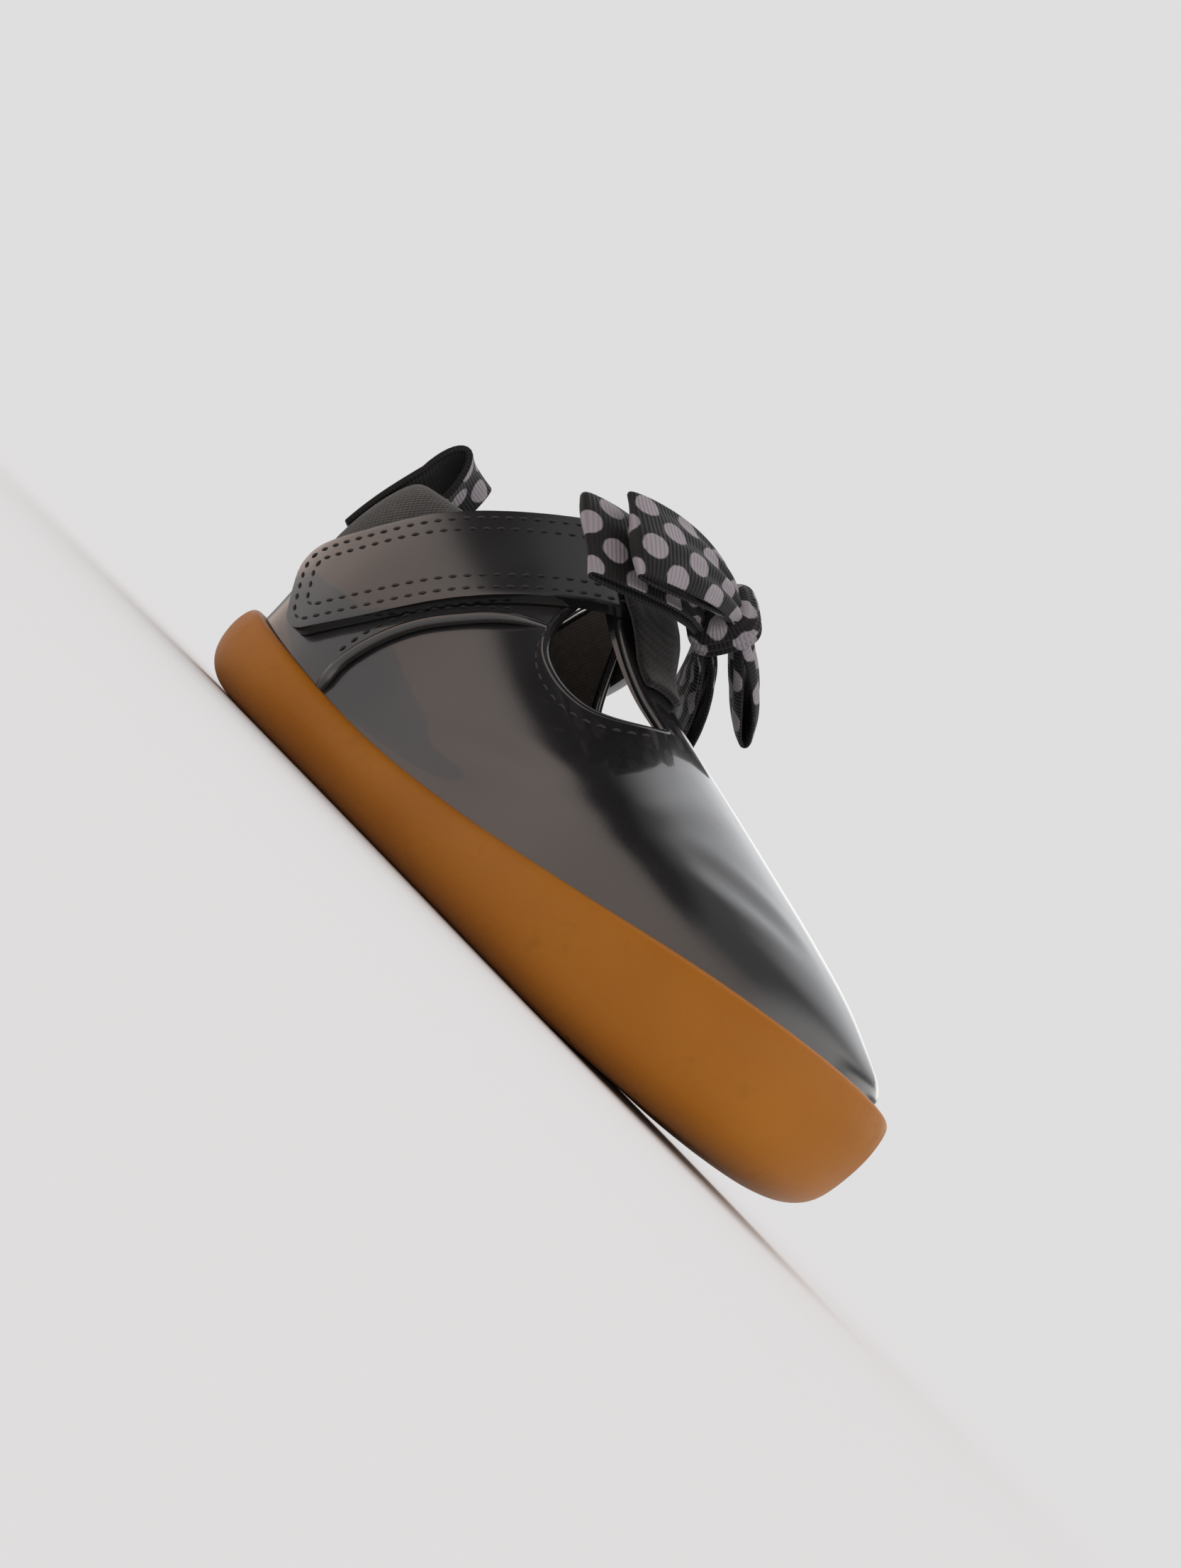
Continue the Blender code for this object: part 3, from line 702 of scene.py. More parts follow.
class Nodes:
    """A tree of shader nodes, grown by one method."""

    def __init__(self, tree):
        self.tree = tree

    def node(self, kind, settings=None, inputs=None, out=0):
        made = self.tree.nodes.new(kind)
        for key, value in (settings or {}).items():
            if key == "stops":
                stops = made.color_ramp.elements
                for at, _ in value[len(stops):]:
                    stops.new(at)
                for stop, (at, colour) in zip(stops, value):
                    stop.position, stop.color = at, (*colour, 1.0)
            else:
                setattr(made, key, value)
        for key, value in (inputs or {}).items():
            self.feed(made.inputs[key], value)
        return Link(self, made.outputs[out])

    def feed(self, socket, value):
        if isinstance(value, Link):
            self.tree.links.new(value.socket, socket)
        else:
            socket.default_value = value

    def axes(self, vector):
        split = self.node("ShaderNodeSeparateXYZ", inputs={0: vector}).socket.node
        return [Link(self, socket) for socket in split.outputs]

    def blend(self, share, first, second):
        inputs = {0: share}
        for socket, colour in zip(MIX_COLOURS, (first, second)):
            inputs[socket] = colour if isinstance(colour, Link) else (*colour, 1.0)
        return self.node("ShaderNodeMix", {"data_type": "RGBA"}, inputs, out=2)

    def step(self, value, low, high):
        inputs = {"Value": value, "From Min": low, "From Max": high}
        return self.node("ShaderNodeMapRange", {"interpolation_type": "SMOOTHSTEP"}, inputs)

    def band(self, value, rise, fall):
        return self.step(value, *rise) * (1 - self.step(value, *fall))


class Finish(Nodes):
    """A material whose constants sit on its shader and whose pattern is fed to it."""

    def __init__(self, name, **constants):
        self.material = bpy.data.materials.new(name)
        self.material.use_nodes = True
        super().__init__(self.material.node_tree)
        self.shader = self.tree.nodes["Principled BSDF"]
        for key, value in constants.items():
            self.shader.inputs[key.replace("_", " ").title().replace("Ior", "IOR")].default_value = value

    def place(self):
        return self.node("ShaderNodeTexCoord", out="Object")

    def noise(self, scale, detail=3.0, rough=0.55):
        inputs = {"Vector": self.place(), "Scale": scale, "Detail": detail, "Roughness": rough}
        return self.node("ShaderNodeTexNoise", inputs=inputs, out="Fac")

    def paint(self, colour, rough, height=None, relief=0.0):
        self.feed(self.shader.inputs["Base Color"], colour)
        self.feed(self.shader.inputs["Roughness"], rough)
        if height is not None:
            inputs = {"Strength": 1.0, "Distance": relief, "Height": height}
            self.feed(self.shader.inputs["Normal"], self.node("ShaderNodeBump", inputs=inputs))
        return self.material


# Finishes: a dark and a light tone of each, then the pitches of their patterns in millimetres, then their
# roughness, plain and what each pattern adds, and the share of each pattern in their relief
PATENT_TONES = (0.007, 0.007, 0.008), (0.016, 0.0155, 0.016)
GUM_TONES = (0.315, 0.099, 0.005), (0.445, 0.170, 0.011)
# Painted shade: the darker tone that the gum takes towards the bottom of the sole
GUM_PAINTED_SHADE = (0.235, 0.083, 0.008)
GUM_DIRT = (0.21, 0.083, 0.014)
GUM_BLEED = (1.0, 0.45, 0.18)
# Heights in metres over which the painted shade at the bottom of the gum fades out
GUM_SHADE_TO = (0.0005, 0.0075)
COLLAR_TONES = (0.006, 0.006, 0.005), (0.052, 0.048, 0.043)
# Painted shade: the collar's cloth in darker tones for the saddle, which lies under the bow
SADDLE_SHADED_TONES = (0.003, 0.003, 0.003), (0.018, 0.0172, 0.0170)
LINING_TONES = (0.030, 0.027, 0.024), (0.090, 0.082, 0.074)
SOCK_TONES = (0.040, 0.036, 0.032), (0.115, 0.105, 0.094)
RIBBON_TONES = (0.004, 0.004, 0.004), (0.014, 0.0134, 0.0136)
SPOT_TONES = (0.225, 0.204, 0.226), (0.36, 0.332, 0.364)
THREAD_TONES = (0.014, 0.013, 0.013), (0.05, 0.047, 0.045)
FLOOR_TONES = (0.78, 0.78, 0.78), (0.80, 0.80, 0.80)
SPOT_PITCH = 9.2
SPOT_SIZE = 0.26
SPOT_EDGE = 0.04
SPOT_RAGGED = 0.05
RIB_PITCH = 0.8
RIBBON_THREAD_PITCH = 0.35
TWIST_PITCH = 0.45
HEEL_CENTRE = -0.045
HEEL_ROUND = 0.02
PATENT_ROUGH = (0.18, 0.10, 0.12)
PATENT_RELIEF = (0.8, 0.06)
GUM_ROUGH = (0.36, 0.16, 0.14)
GUM_RELIEF = (0.5, 0.6)
# How much of the painted shade at the bottom of the gum is laid on
GUM_SHADE_SHARE = 0.45
GUM_DIRT_SHARE = 0.4
WEAVE_LEAN = 0.6
WEAVE_RELIEF = 0.4
NAP_SHARES = (0.3, 0.7)
WORN_SHARE = 0.45
FLUFF_ROUGH = 0.1
RIBBON_ROUGH = (0.5, 0.2)
RIBBON_RELIEF = (0.8, 0.2, 0.3)
GROUND_SHARES = (0.6, 0.4)
THREAD_ROUGH = (0.42, 0.15)
FLOOR_ROUGH = (0.75, 0.1)


def make_patent():
    finish = Finish("patent", coat_weight=1.0, coat_roughness=0.05, specular_ior_level=0.6)
    broad = finish.noise(scale=45, detail=2.0)
    fine = finish.noise(scale=1400, detail=2.0)
    scuff = finish.step(finish.noise(scale=260, detail=4.0), low=0.62, high=0.78)
    plain, cloudy, scuffed = PATENT_ROUGH
    rough = plain + cloudy * broad + scuffed * scuff
    height = PATENT_RELIEF[0] * broad + PATENT_RELIEF[1] * fine
    return finish.paint(finish.blend(broad, *PATENT_TONES), rough, height, relief=0.0002)


def make_gum():
    finish = Finish("gum_rubber", subsurface_weight=0.15, subsurface_scale=0.005, specular_ior_level=0.24)
    finish.shader.inputs["Subsurface Radius"].default_value = GUM_BLEED
    cloud = finish.noise(scale=38)
    speck = finish.noise(scale=900, detail=2.0)
    dirt = finish.noise(scale=150, detail=5.0, rough=0.65)
    height = finish.axes(finish.place())[2]
    # Painted shade: the gum is darkened towards the bottom of the sole
    low = 1 - finish.step(height, *GUM_SHADE_TO)
    amber = finish.blend(cloud, *GUM_TONES)
    amber = finish.blend(low * GUM_SHADE_SHARE, amber, GUM_PAINTED_SHADE)
    amber = finish.blend(finish.step(dirt, low=0.58, high=0.82) * GUM_DIRT_SHARE, amber, GUM_DIRT)
    plain, cloudy, dirty = GUM_ROUGH
    rough = plain + cloudy * cloud + dirty * finish.step(dirt, low=0.5, high=0.8)
    return finish.paint(amber, rough, speck * GUM_RELIEF[0] + dirt * GUM_RELIEF[1], relief=0.00012)


def make_weave(name, tones, pitch, rough, relief, wrapped=False):
    """A plain cloth: threads over and under, with the fluff of a matte yarn.

    A wrapped cloth runs round the heel."""
    finish = Finish(name, sheen_weight=0.25, sheen_roughness=0.5, specular_ior_level=0.2)
    x, y, z = finish.axes(finish.place())
    turns = 2 * pi / (pitch * MM)
    if wrapped:
        warp, weft = y.math("ARCTAN2", HEEL_CENTRE - x) * HEEL_ROUND, z
    else:
        warp, weft = x + z * WEAVE_LEAN, z - y
    over = (warp * turns).math("SINE") * (weft * turns).math("SINE")
    fluff = finish.noise(scale=700, detail=6.0, rough=0.8)
    patch = finish.noise(scale=110)
    weave = 0.5 + 0.5 * over
    nap = finish.step(weave * NAP_SHARES[0] + fluff * NAP_SHARES[1], low=0.3, high=0.7)
    colour = finish.blend(nap, *tones)
    colour = finish.blend(finish.step(patch, low=0.4, high=0.7) * WORN_SHARE, colour, tones[0])
    return finish.paint(colour, rough + FLUFF_ROUGH * fluff, weave * WEAVE_RELIEF + fluff, relief)


def make_ribbon(name, printed):
    """Grosgrain ribbon, its face printed with pale spots in staggered rows and its back plain."""
    finish = Finish(name, sheen_weight=0.1, sheen_roughness=0.4, specular_ior_level=0.22)
    run = finish.node("ShaderNodeAttribute", {"attribute_name": "ribbon"}, out="Vector")
    along, across, _ = finish.axes(run)

    def from_centre(shift):
        a = (along / SPOT_PITCH + shift).math("FRACT") - 0.5
        b = (across / SPOT_PITCH + shift).math("FRACT") - 0.5
        return (a * a + b * b).math("SQRT")

    nearest = from_centre(0.0).math("MINIMUM", from_centre(0.5))
    ragged = finish.noise(scale=900, detail=2.0) * SPOT_RAGGED
    spot = printed * (1 - finish.step(nearest + ragged, SPOT_SIZE, SPOT_SIZE + SPOT_EDGE))
    ribs = 0.5 + 0.5 * (along * (2 * pi / RIB_PITCH)).math("SINE")
    threads = 0.5 + 0.5 * (across * (2 * pi / RIBBON_THREAD_PITCH)).math("SINE")
    fluff = finish.noise(scale=500)
    ground = finish.blend(ribs * GROUND_SHARES[0] + fluff * GROUND_SHARES[1], *RIBBON_TONES)
    print_colour = finish.blend(ribs * 0.5 + fluff * 0.5, *SPOT_TONES)
    colour = finish.blend(spot, ground, print_colour)
    rough = RIBBON_ROUGH[0] + RIBBON_ROUGH[1] * fluff
    height = ribs * RIBBON_RELIEF[0] + threads * RIBBON_RELIEF[1] + spot * RIBBON_RELIEF[2]
    return finish.paint(colour, rough, height, relief=0.00012)


def make_thread():
    finish = Finish("thread", specular_ior_level=0.4)
    x, y, z = finish.axes(finish.place())
    twist = 0.5 + 0.5 * ((x + y + z) * (2 * pi / (TWIST_PITCH * MM))).math("SINE")
    colour = finish.blend(twist, *THREAD_TONES)
    return finish.paint(colour, THREAD_ROUGH[0] + THREAD_ROUGH[1] * twist, twist, relief=0.00008)


def make_floor():
    finish = Finish("studio_floor", specular_ior_level=0.0)
    mottle = finish.noise(scale=6)
    colour = finish.blend(mottle, *FLOOR_TONES)
    return finish.paint(colour, FLOOR_ROUGH[0] + FLOOR_ROUGH[1] * mottle)


PATENT = make_patent()
GUM = make_gum()
COLLAR_CLOTH = make_weave("collar_cloth", COLLAR_TONES, pitch=1.1, rough=0.85, relief=0.0003, wrapped=True)
# The saddle's cloth is the collar's cloth in darker tones: painted shade under the bow
COLLAR_CLOTH_SHADED = make_weave("saddle_cloth", SADDLE_SHADED_TONES, pitch=1.1, rough=0.8, relief=0.00022)
LINING = make_weave("lining_cloth", LINING_TONES, pitch=0.8, rough=0.85, relief=0.0001)
SOCK = make_weave("sock", SOCK_TONES, pitch=0.8, rough=0.85, relief=0.0001)
RIBBON = make_ribbon("ribbon", 1.0)
RIBBON_BACK = make_ribbon("ribbon_back", 0.0)
THREAD = make_thread()


def dress(piece, slot, node, *materials):
    """Gives a piece its finish, and seats it in the frame."""
    cover(piece, *materials)
    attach(piece, "root")
    if node:
        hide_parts(node)
    return piece


def smooth_by_angle(piece, degrees=40):
    take(piece)
    bpy.ops.object.shade_smooth_by_angle(angle=radians(degrees))
    return piece


# Sole and sock

def around(count):
    return [2 * k / count for k in range(count)]


def flat_ring(inset, height, count):
    """A ring inside the outline, at the height that a function of its place gives."""
    ring = []
    for turn in around(count):
        x, y = edge_in(turn, inset(turn))
        ring.append(np.array([x, y, height(x)]))
    return ring


def towards_middle(ring, share, height):
    """A ring drawn in towards the middle line, where the two sides meet."""
    count = len(ring)
    drawn = []
    for k, p in enumerate(ring):
        x = (p[0] + ring[-k % count][0]) / 2
        x = LENGTH / 2 + (x - LENGTH / 2) * MIDDLE_SHARE
        here = p * share + np.array([x, 0.0, 0.0]) * (1 - share)
        drawn.append(np.array([here[0], here[1], height(here[0])]))
    return drawn


def make_outsole(count=84):
    rings = []
    for row in SOLE_RINGS:
        def height(x, row=row):
            return tread(x) + row.above + row.share * (rim(x) - tread(x))
        rings.append(flat_ring(lambda turn, row=row: row.inset, height, count))
    rings.append(flat_ring(lambda turn: upper_inset(turn) - GAP, lambda x: rim(x) - GAP, count))
    rings.append(flat_ring(lambda turn: upper_inset(turn) - GAP, bed, count))
    under = [towards_middle(rings[0], share, tread) for share in UNDER_SHARES]
    cup = [towards_middle(rings[-1], share, bed) for share in CUP_SHARES]
    sole = loft("outsole_gum", under + rings + cup)
    subdivide(sole, 2)
    blades = []
    for k, marks in enumerate(SIPES):
        line, _ = curve_through(marks, SIPE_STEPS + 1)

        def place(u, v, line=line):
            x, y = line[int(round(u * SIPE_STEPS))]
            return x, y, tread(x) + SIPE_DEEP if v > 0.5 else tread(x) - SIPE_BELOW
        blade = sheet(f"sipe_blade_{k}", SIPE_STEPS, 1, place)
        blades.append(thicken(blade, SIPE_WIDE, 0.0))
    cut(sole, joined(blades))
    smooth_by_angle(sole)
    return dress(sole, "gum_rubber", "outsole", GUM)


def make_sock(count=72):
    def inset(turn):
        return upper_inset(turn) + WALL + 2 * GAP

    def cushion(x):
        return bed(x) + INSOLE_THICK

    def under(x):
        return bed(x) + GAP
    low = flat_ring(inset, under, count)
    side = flat_ring(inset, lambda x: cushion(x) - INSOLE_EDGE, count)
    top = flat_ring(lambda turn: inset(turn) + INSOLE_ROUND, cushion, count)
    rings = [towards_middle(low, share, under) for share in INSOLE_UNDER_SHARES] + [low, side, top]
    rings += [towards_middle(top, share, cushion) for share in INSOLE_TOP_SHARES]
    sock = subdivide(loft("insole_sock", rings), 1)
    smooth_by_angle(sock)
    return dress(sock, "sock", "insole", SOCK)


# Upper

def crease_lines():
    lines = []
    for crease in CREASES:
        line, _ = curve_through([on_side(x, z, crease.side) for x, z in crease.marks], CREASE_STEPS)
        lines.append((crease, line))
    return lines


def relief(points, lines):
    """How far the patent stands in or out at each point: soft troughs with a low ridge on each side."""
    out = np.zeros(len(points))
    for crease, line in lines:
        apart = np.linalg.norm(points[:, None, :] - line[None], axis=2)
        nearest = apart.argmin(1)
        d = apart.min(1) / crease.wide
        fade = np.sin(pi * (nearest + 0.5) / len(line)) ** CREASE_FADE
        lip = CREASE_LIP * np.exp(-((d - CREASE_LIP_AT) ** 2) * CREASE_LIP_SHARP)
        out += crease.deep * fade * (lip - np.exp(-(d**2)))
    return out


def skin_rows(count, rows, lines=None):
    """Rings of the last's outer face, from the cup to the ridge; a share under 0 lies inside the cup."""
    shares = [-1.0, -0.5] + [k / rows for k in range(rows + 1)]
    rings = []
    for share in shares:
        places = []
        for turn in around(count):
            lip = rise_at(turn, foot(turn)[0][2] + CUP_DEPTH)
            places.append((turn, lip + (1 - lip) * share if share >= 0 else lip * (1 + share)))
        ring = np.array([skin(*place) for place in places])
        if lines and 0 < share < 1:
            out = relief(ring, lines)
            ring = ring + np.array([skin_normal(*place) for place in places]) * out[:, None]
        if share == 1.0:
            for k in range(1, count // 2):
                middle = (ring[k] + ring[count - k]) / 2 * np.array([1.0, 0.0, 1.0])
                ring[k] = ring[count - k] = middle
        rings.append(ring)
    return rings


def eye_line():
    line, _ = curve_through([*WING_TOP, *EYE_BACK, *EYE_LOW], EYE_STEPS)
    return eased(line, EYE_PASSES)


def wing_line():
    line, _ = curve_through([COLLAR_SEAM[-1], *WING_TOP], WING_STEPS)
    return line


def ease_toe(upper):
    """Merges and smooths the crowded points where the columns of the patent meet at the toe."""
    meeting = set_place((RIDGE[-1].x, 0.0, RIDGE[-1].z))
    take(upper)
    bpy.ops.object.mode_set(mode="EDIT")
    bpy.ops.mesh.select_all(action="DESELECT")
    shape = bmesh.from_edit_mesh(upper.data)
    for vertex in shape.verts:
        vertex.select_set((vertex.co - meeting).length < TOE_EASED * MM)
    shape.select_flush(True)
    bmesh.update_edit_mesh(upper.data)
    bpy.ops.mesh.remove_doubles(threshold=TOE_CROWDED * MM)
    bpy.ops.mesh.vertices_smooth(factor=0.5, repeat=TOE_PASSES)
    bpy.ops.object.mode_set(mode="OBJECT")


def make_upper(lines):
    upper = loft("upper_patent", skin_rows(*UPPER_GRID, lines))
    cover(upper, PATENT, LINING)
    ease_toe(upper)
    subdivide(upper, 1)
    thicken(upper, WALL, -1.0, material_offset=1)
    seam = [(x, seam_height(x)) for x in np.linspace(COLLAR_SEAM[0].x, COLLAR_SEAM[-1].x, SEAM_STEPS)]
    mouth = seam + [tuple(p) for p in wing_line()[1:]]
    mouth += [(BAR_END, WING_TOP[-1].z + 1), (BAR_END, CUTTER_HIGH), (COLLAR_SEAM[0].x, CUTTER_HIGH)]
    eye = [tuple(p) for p in eye_line()] + [(mark.x, CUTTER_HIGH) for mark in (EYE_LOW[-1], WING_TOP[-1])]
    cut(upper, prism("mouth_cutter", mouth, -CUTTER_WIDE, CUTTER_WIDE))
    cut(upper, prism("eye_cutter_near", eye, -CUTTER_WIDE, -BAR_HALF))
    cut(upper, prism("eye_cutter_far", eye, BAR_HALF, CUTTER_WIDE))
    smooth_by_angle(upper)
    return dress(upper, "patent", "upper")


def seam_point(turn, out, raised=0.0):
    """A point of the quarter's top edge, by its column."""
    low = SEAM_START
    for _ in range(SEAM_TRIES):
        x = skin(turn, rise_at(turn, low))[0]
        low = seam_height(x) + raised
    return wall(turn, rise_at(turn, low), out)


def top_edge(out):
    """The whole free edge of the upper, round the collar, both eyes and the bar's end, as a closed path."""
    halves = []
    for side in (-1, 1):
        front = turn_at(COLLAR_SEAM[-1].x, COLLAR_SEAM[-1].z, side)
        path = [seam_point(1 + (front - 1) * k / EDGE_STEPS, out) for k in range(EDGE_STEPS + 1)]
        path += [on_side(x, z, side, out) for x, z in wing_line()[1:]]
        for x, z in eye_line()[1:]:
            if z > ridge(x) - BAR_NEAR and x > BAR_FROM:
                break
            point = on_side(x, z, side, out)
            if abs(point[1]) < BAR_HALF and x > BAR_FROM:
                break
            path.append(point)
        back = np.arange(path[-1][0] - BAR_FIRST, BAR_END, -BAR_STEP)
        path += [on_top(x, side * BAR_HALF, out) for x in back]
        path += [on_top(BAR_END, side * y, out) for y in BAR_CORNER]
        halves.append(path)
    whole = halves[0] + [on_top(BAR_END, 0.0, out)] + halves[1][::-1][:-1]
    return eased(even(whole, EDGE_PITCH, True), EYE_PASSES, True)


def make_edge_fold():
    fold = tube("upper_edge_fold", top_edge(-WALL / 2), FOLD_RADIUS, closed=True)
    smooth_by_angle(fold, SOFT_ANGLE)
    return dress(fold, "patent", None, PATENT)


def make_piping(name, side):
    marks = [on_side(PIPING_TAIL.x, PIPING_TAIL.z, side, -PIPING_SUNK)]
    marks += [on_side(m.x, m.z, side, PIPING_RADIUS * PIPING_PROUD) for m in PIPING]
    marks += [on_side(m.x, m.z, side, out) for m, out in zip(PIPING_HEAD, PIPING_HEAD_OUT)]
    line, _ = curve_through(marks, PIPING_STEPS)
    tapered = np.interp(np.arange(PIPING_STEPS), *PIPING_TAPER)
    piping = tube(name, line, PIPING_RADIUS * tapered)
    smooth_by_angle(piping, SOFT_ANGLE)
    return dress(piping, "patent", name.replace("_bead", ""), PATENT)


# Collar

def make_collar(columns=56):
    """The padded band round the back, between the quarter's edge and the top line."""
    ends = [turn_at(COLLAR_FRONT, seam_height(COLLAR_FRONT) + 1.0, side) for side in (-1, 1)]
    rings = []
    for k in range(columns):
        turn = ends[0] + (ends[1] - ends[0]) * k / (columns - 1)
        low = SEAM_START
        for _ in range(COLLAR_TRIES):
            x = skin(turn, rise_at(turn, low))[0]
            slope = seam_height(x + 0.5) - seam_height(x - 0.5)
            low = seam_height(x) + GAP * sqrt(1 + slope**2)
        high = topline(x)
        puff = COLLAR_PUFF * max(0.0, 1 - x / COLLAR_PUFF_TO)
        ring = []
        for pad in COLLAR_PADS:
            out = pad.puff * puff - pad.wall * COLLAR_WALL + pad.out
            ring.append(wall(turn, rise_at(turn, low + (high - low) * pad.share), out))
        rings.append(ring)
    ends = [[sum(ring) / len(ring)] * len(ring) for ring in (rings[0], rings[-1])]
    collar = subdivide(loft("collar_pad", [ends[0]] + rings + [ends[1]]), 1)
    smooth_by_angle(collar, SOFT_ANGLE)
    dress(collar, "collar_cloth", "collar", COLLAR_CLOTH)
    return collar


# Strap and saddle

def strap_lines():
    """The strap's middle line on the last, the same line a little further out, and its length."""
    lines = []
    for out in (0.0, STRAP_RAISED):
        near = [on_side(m.x, m.z, -1, out) for m in STRAP_PATH]
        far = [on_side(m.x, m.z, 1, out) for m in reversed(STRAP_PATH)]
        lines.append(near + [on_top(STRAP_CROSS, 0.0, out)] + far)
    line, length = curve_through(lines[0], STRAP_STEPS)
    raised, _ = curve_through(lines[1], STRAP_STEPS)
    return line, raised, length


def strap_point(lines, along, across, out):
    """A point of the strap, by its distance along the middle line and to the side of it."""
    line, raised, length = lines
    last = STRAP_STEPS - 1
    i = int(round(min(max(along / length, 0.0), 1.0) * last))
    tangent = line[min(i + 1, last)] - line[max(i - 1, 0)]
    tangent = tangent / np.linalg.norm(tangent)
    outward = raised[i] - line[i]
    outward = outward - tangent * outward.dot(tangent)
    outward = outward / np.linalg.norm(outward)
    return line[i] + np.cross(tangent, outward) * across + outward * out


def strap_half(to_end, inset=0.0):
    """Half the strap's width, less near its rounded ends."""
    half = STRAP_WIDTH / 2 - inset
    corner = max(STRAP_ROUND - inset, STRAP_ROUND_LEAST)
    if to_end < corner:
        half += sqrt(max(corner**2 - (corner - max(to_end, 0.0)) ** 2, 0.0)) - corner
    return half


def make_strap(lines, guide):
    length = lines[2]
    columns, across = STRAP_GRID
    spread = STRAP_ENDS + list(np.linspace(STRAP_CLEAR, length - STRAP_CLEAR, columns))
    spread += [length - end for end in reversed(STRAP_ENDS)]

    def place(u, v):
        along = spread[int(round(u * (len(spread) - 1)))]
        half = strap_half(min(along, length - along))
        return strap_point(lines, along, half * (2 * v - 1), STRAP_LAID)
    strap = face_out(sheet("strap_patent", len(spread) - 1, across, place))
    cover(strap, PATENT, LINING)
    finish_with(strap, "SHRINKWRAP", target=guide, wrap_method="NEAREST_SURFACEPOINT",
                wrap_mode="ABOVE_SURFACE", offset=GAP * MM)
    thicken(strap, STRAP_THICK, 1.0, use_even_offset=True, material_offset=1)
    ease_edges(strap, STRAP_EDGE, 4)
    smooth_by_angle(strap, EDGE_ANGLE)
    return dress(strap, "patent", "strap")


def strap_rows(lines):
    """Rows of stitches along the strap's edges and round its ends."""
    length = lines[2]
    rows = []
    for inset in STRAP_ROWS:
        corner = max(STRAP_ROUND - inset, STRAP_ROUND_LEAST)
        half = STRAP_WIDTH / 2 - inset
        flat = []
        for centre, start in (((length - inset - corner, half - corner), 0.0),
                              ((inset + corner, half - corner), 0.5),
                              ((inset + corner, corner - half), 1.0),
                              ((length - inset - corner, corner - half), 1.5)):
            for k in range(CORNER_STEPS + 1):
                angle = pi * (start + 0.5 * k / CORNER_STEPS)
                flat.append((centre[0] + corner * cos(angle), centre[1] + corner * sin(angle)))
        flat = even(flat, ROW_PITCH, True)
        rows.append([strap_point(lines, a, b, STRAP_THICK + GAP) for a, b in flat])
    return rows


def make_saddle():
    """The end of the t-bar, folded over the strap."""
    def place(u, v):
        x = SADDLE_BACK + SADDLE_LONG * u
        narrow = min(max((x - SADDLE_NARROWS) / SADDLE_TAPER, 0.0), 1.0)
        rounded = SADDLE_CORNER * max(1 - u / SADDLE_CORNER_SHARE, 0.0) ** 2
        half = SADDLE_HALF + (BAR_HALF - SADDLE_HALF) * narrow - rounded
        y = half * (2 * v - 1)
        return on_top(x + SADDLE_LEAN * abs(y) * (1 - u) ** SADDLE_LEAN_POWER, y, saddle_out(x))
    saddle = face_out(sheet("strap_saddle_band", *SADDLE_GRID, place))
    thicken(saddle, SADDLE_THICK, 1.0, use_even_offset=True)
    ease_edges(saddle, SADDLE_EDGE, 3)
    smooth_by_angle(saddle, EDGE_ANGLE)
    # The collar's cloth in darker tones: painted shade under the bow
    return dress(saddle, "collar_cloth", "strap_saddle", COLLAR_CLOTH_SHADED)


# Bow and pull tab

def bow_frame(degrees):
    """The bow's seat and three directions: out to the side, along the t-bar, and up."""
    step = 2.0
    down = on_top(BOW_X + step, 0.0) - on_top(BOW_X - step, 0.0)
    down = down / np.linalg.norm(down)
    across = np.array([0.0, 1.0, 0.0])
    up = np.cross(down, across)
    up = up * np.sign(up[2])
    turn = radians(degrees)
    seat = on_top(BOW_X, 0.0) + up * (3 * GAP + STRAP_THICK + SADDLE_THICK + BOW_LIFT)
    return seat, cos(turn) * across + sin(turn) * down, cos(turn) * down - sin(turn) * across, up


def make_loop(row, steps=88, across=22):
    """A ribbon loop: out along the bottom, round the fold and back along the top, gathered at the knot."""
    seat, out, width, up = bow_frame(row.turn)

    def middle_line(t):
        share = 0.5 - 0.5 * cos(t)
        opened = LOOP_PRESSED * (1 - share) + row.gape * LOOP_OPENED * share * sqrt(max(1 - share, 0.0))
        middle = row.root + (row.tip - row.root) * share**LOOP_DROOP
        reach = LOOP_START + (row.reach - LOOP_START) * share
        return reach, middle - opened * np.sign(sin(t)), share, middle

    shares = [LOOP_ENDS + (1 - 2 * LOOP_ENDS) * k / steps for k in range(steps + 1)]
    path = [middle_line(2 * pi * share) for share in shares]
    runs = np.cumsum([0.0] + [np.hypot(b[0] - a[0], b[1] - a[1]) for a, b in zip(path, path[1:])])
    phase = LOOP_PHASE * row.turn + row.side

    def place(u, v):
        k = int(round(u * steps))
        before, here, after = path[max(k - 1, 0)], path[k], path[min(k + 1, steps)]
        along = np.array([after[0] - before[0], after[1] - before[1]])
        square = np.array([-along[1], along[0]]) / np.hypot(*along)
        share = here[2]
        side = 2 * v - 1
        half = row.half_root + (row.half_tip - row.half_root) * sin(share * pi / 2)
        gather = LOOP_GATHER * (1 - share) ** LOOP_GATHER_POWER * cos(LOOP_PLEATS * pi * side + phase)
        sway = LOOP_SWAY * sin(pi * side + phase + LOOP_SWAY_TURN * share) * share
        lift = gather + sway - LOOP_CURL * side * side * share
        reach = here[0] + square[0] * lift - LOOP_BULGE * side * side * share
        pinched = LOOP_PINCH * abs(side) ** LOOP_PINCH_POWER
        high = here[1] + (here[3] - here[1]) * pinched + square[1] * lift
        return seat + row.side * out * reach + width * side * half + up * high

    def pattern(u, v):
        k = int(round(u * steps))
        across_run = (2 * v - 1) * row.half_tip + LOOP_PRINT[1] * row.side
        return runs[k] + LOOP_PRINT[0] * row.turn, across_run

    loop = sheet(row.name + "_ribbon", steps, across, place, pattern)
    cover(loop, RIBBON, RIBBON_BACK)
    face_out(loop, seat + row.side * out * row.reach * LOOP_CENTRE + up * (row.root + row.tip) / 2)
    thicken(loop, BOW_THICK, 0.0, material_offset=1, material_offset_rim=1)
    subdivide(loop, 1)
    smooth_by_angle(loop, SOFT_ANGLE)
    return dress(loop, "ribbon", row.name)


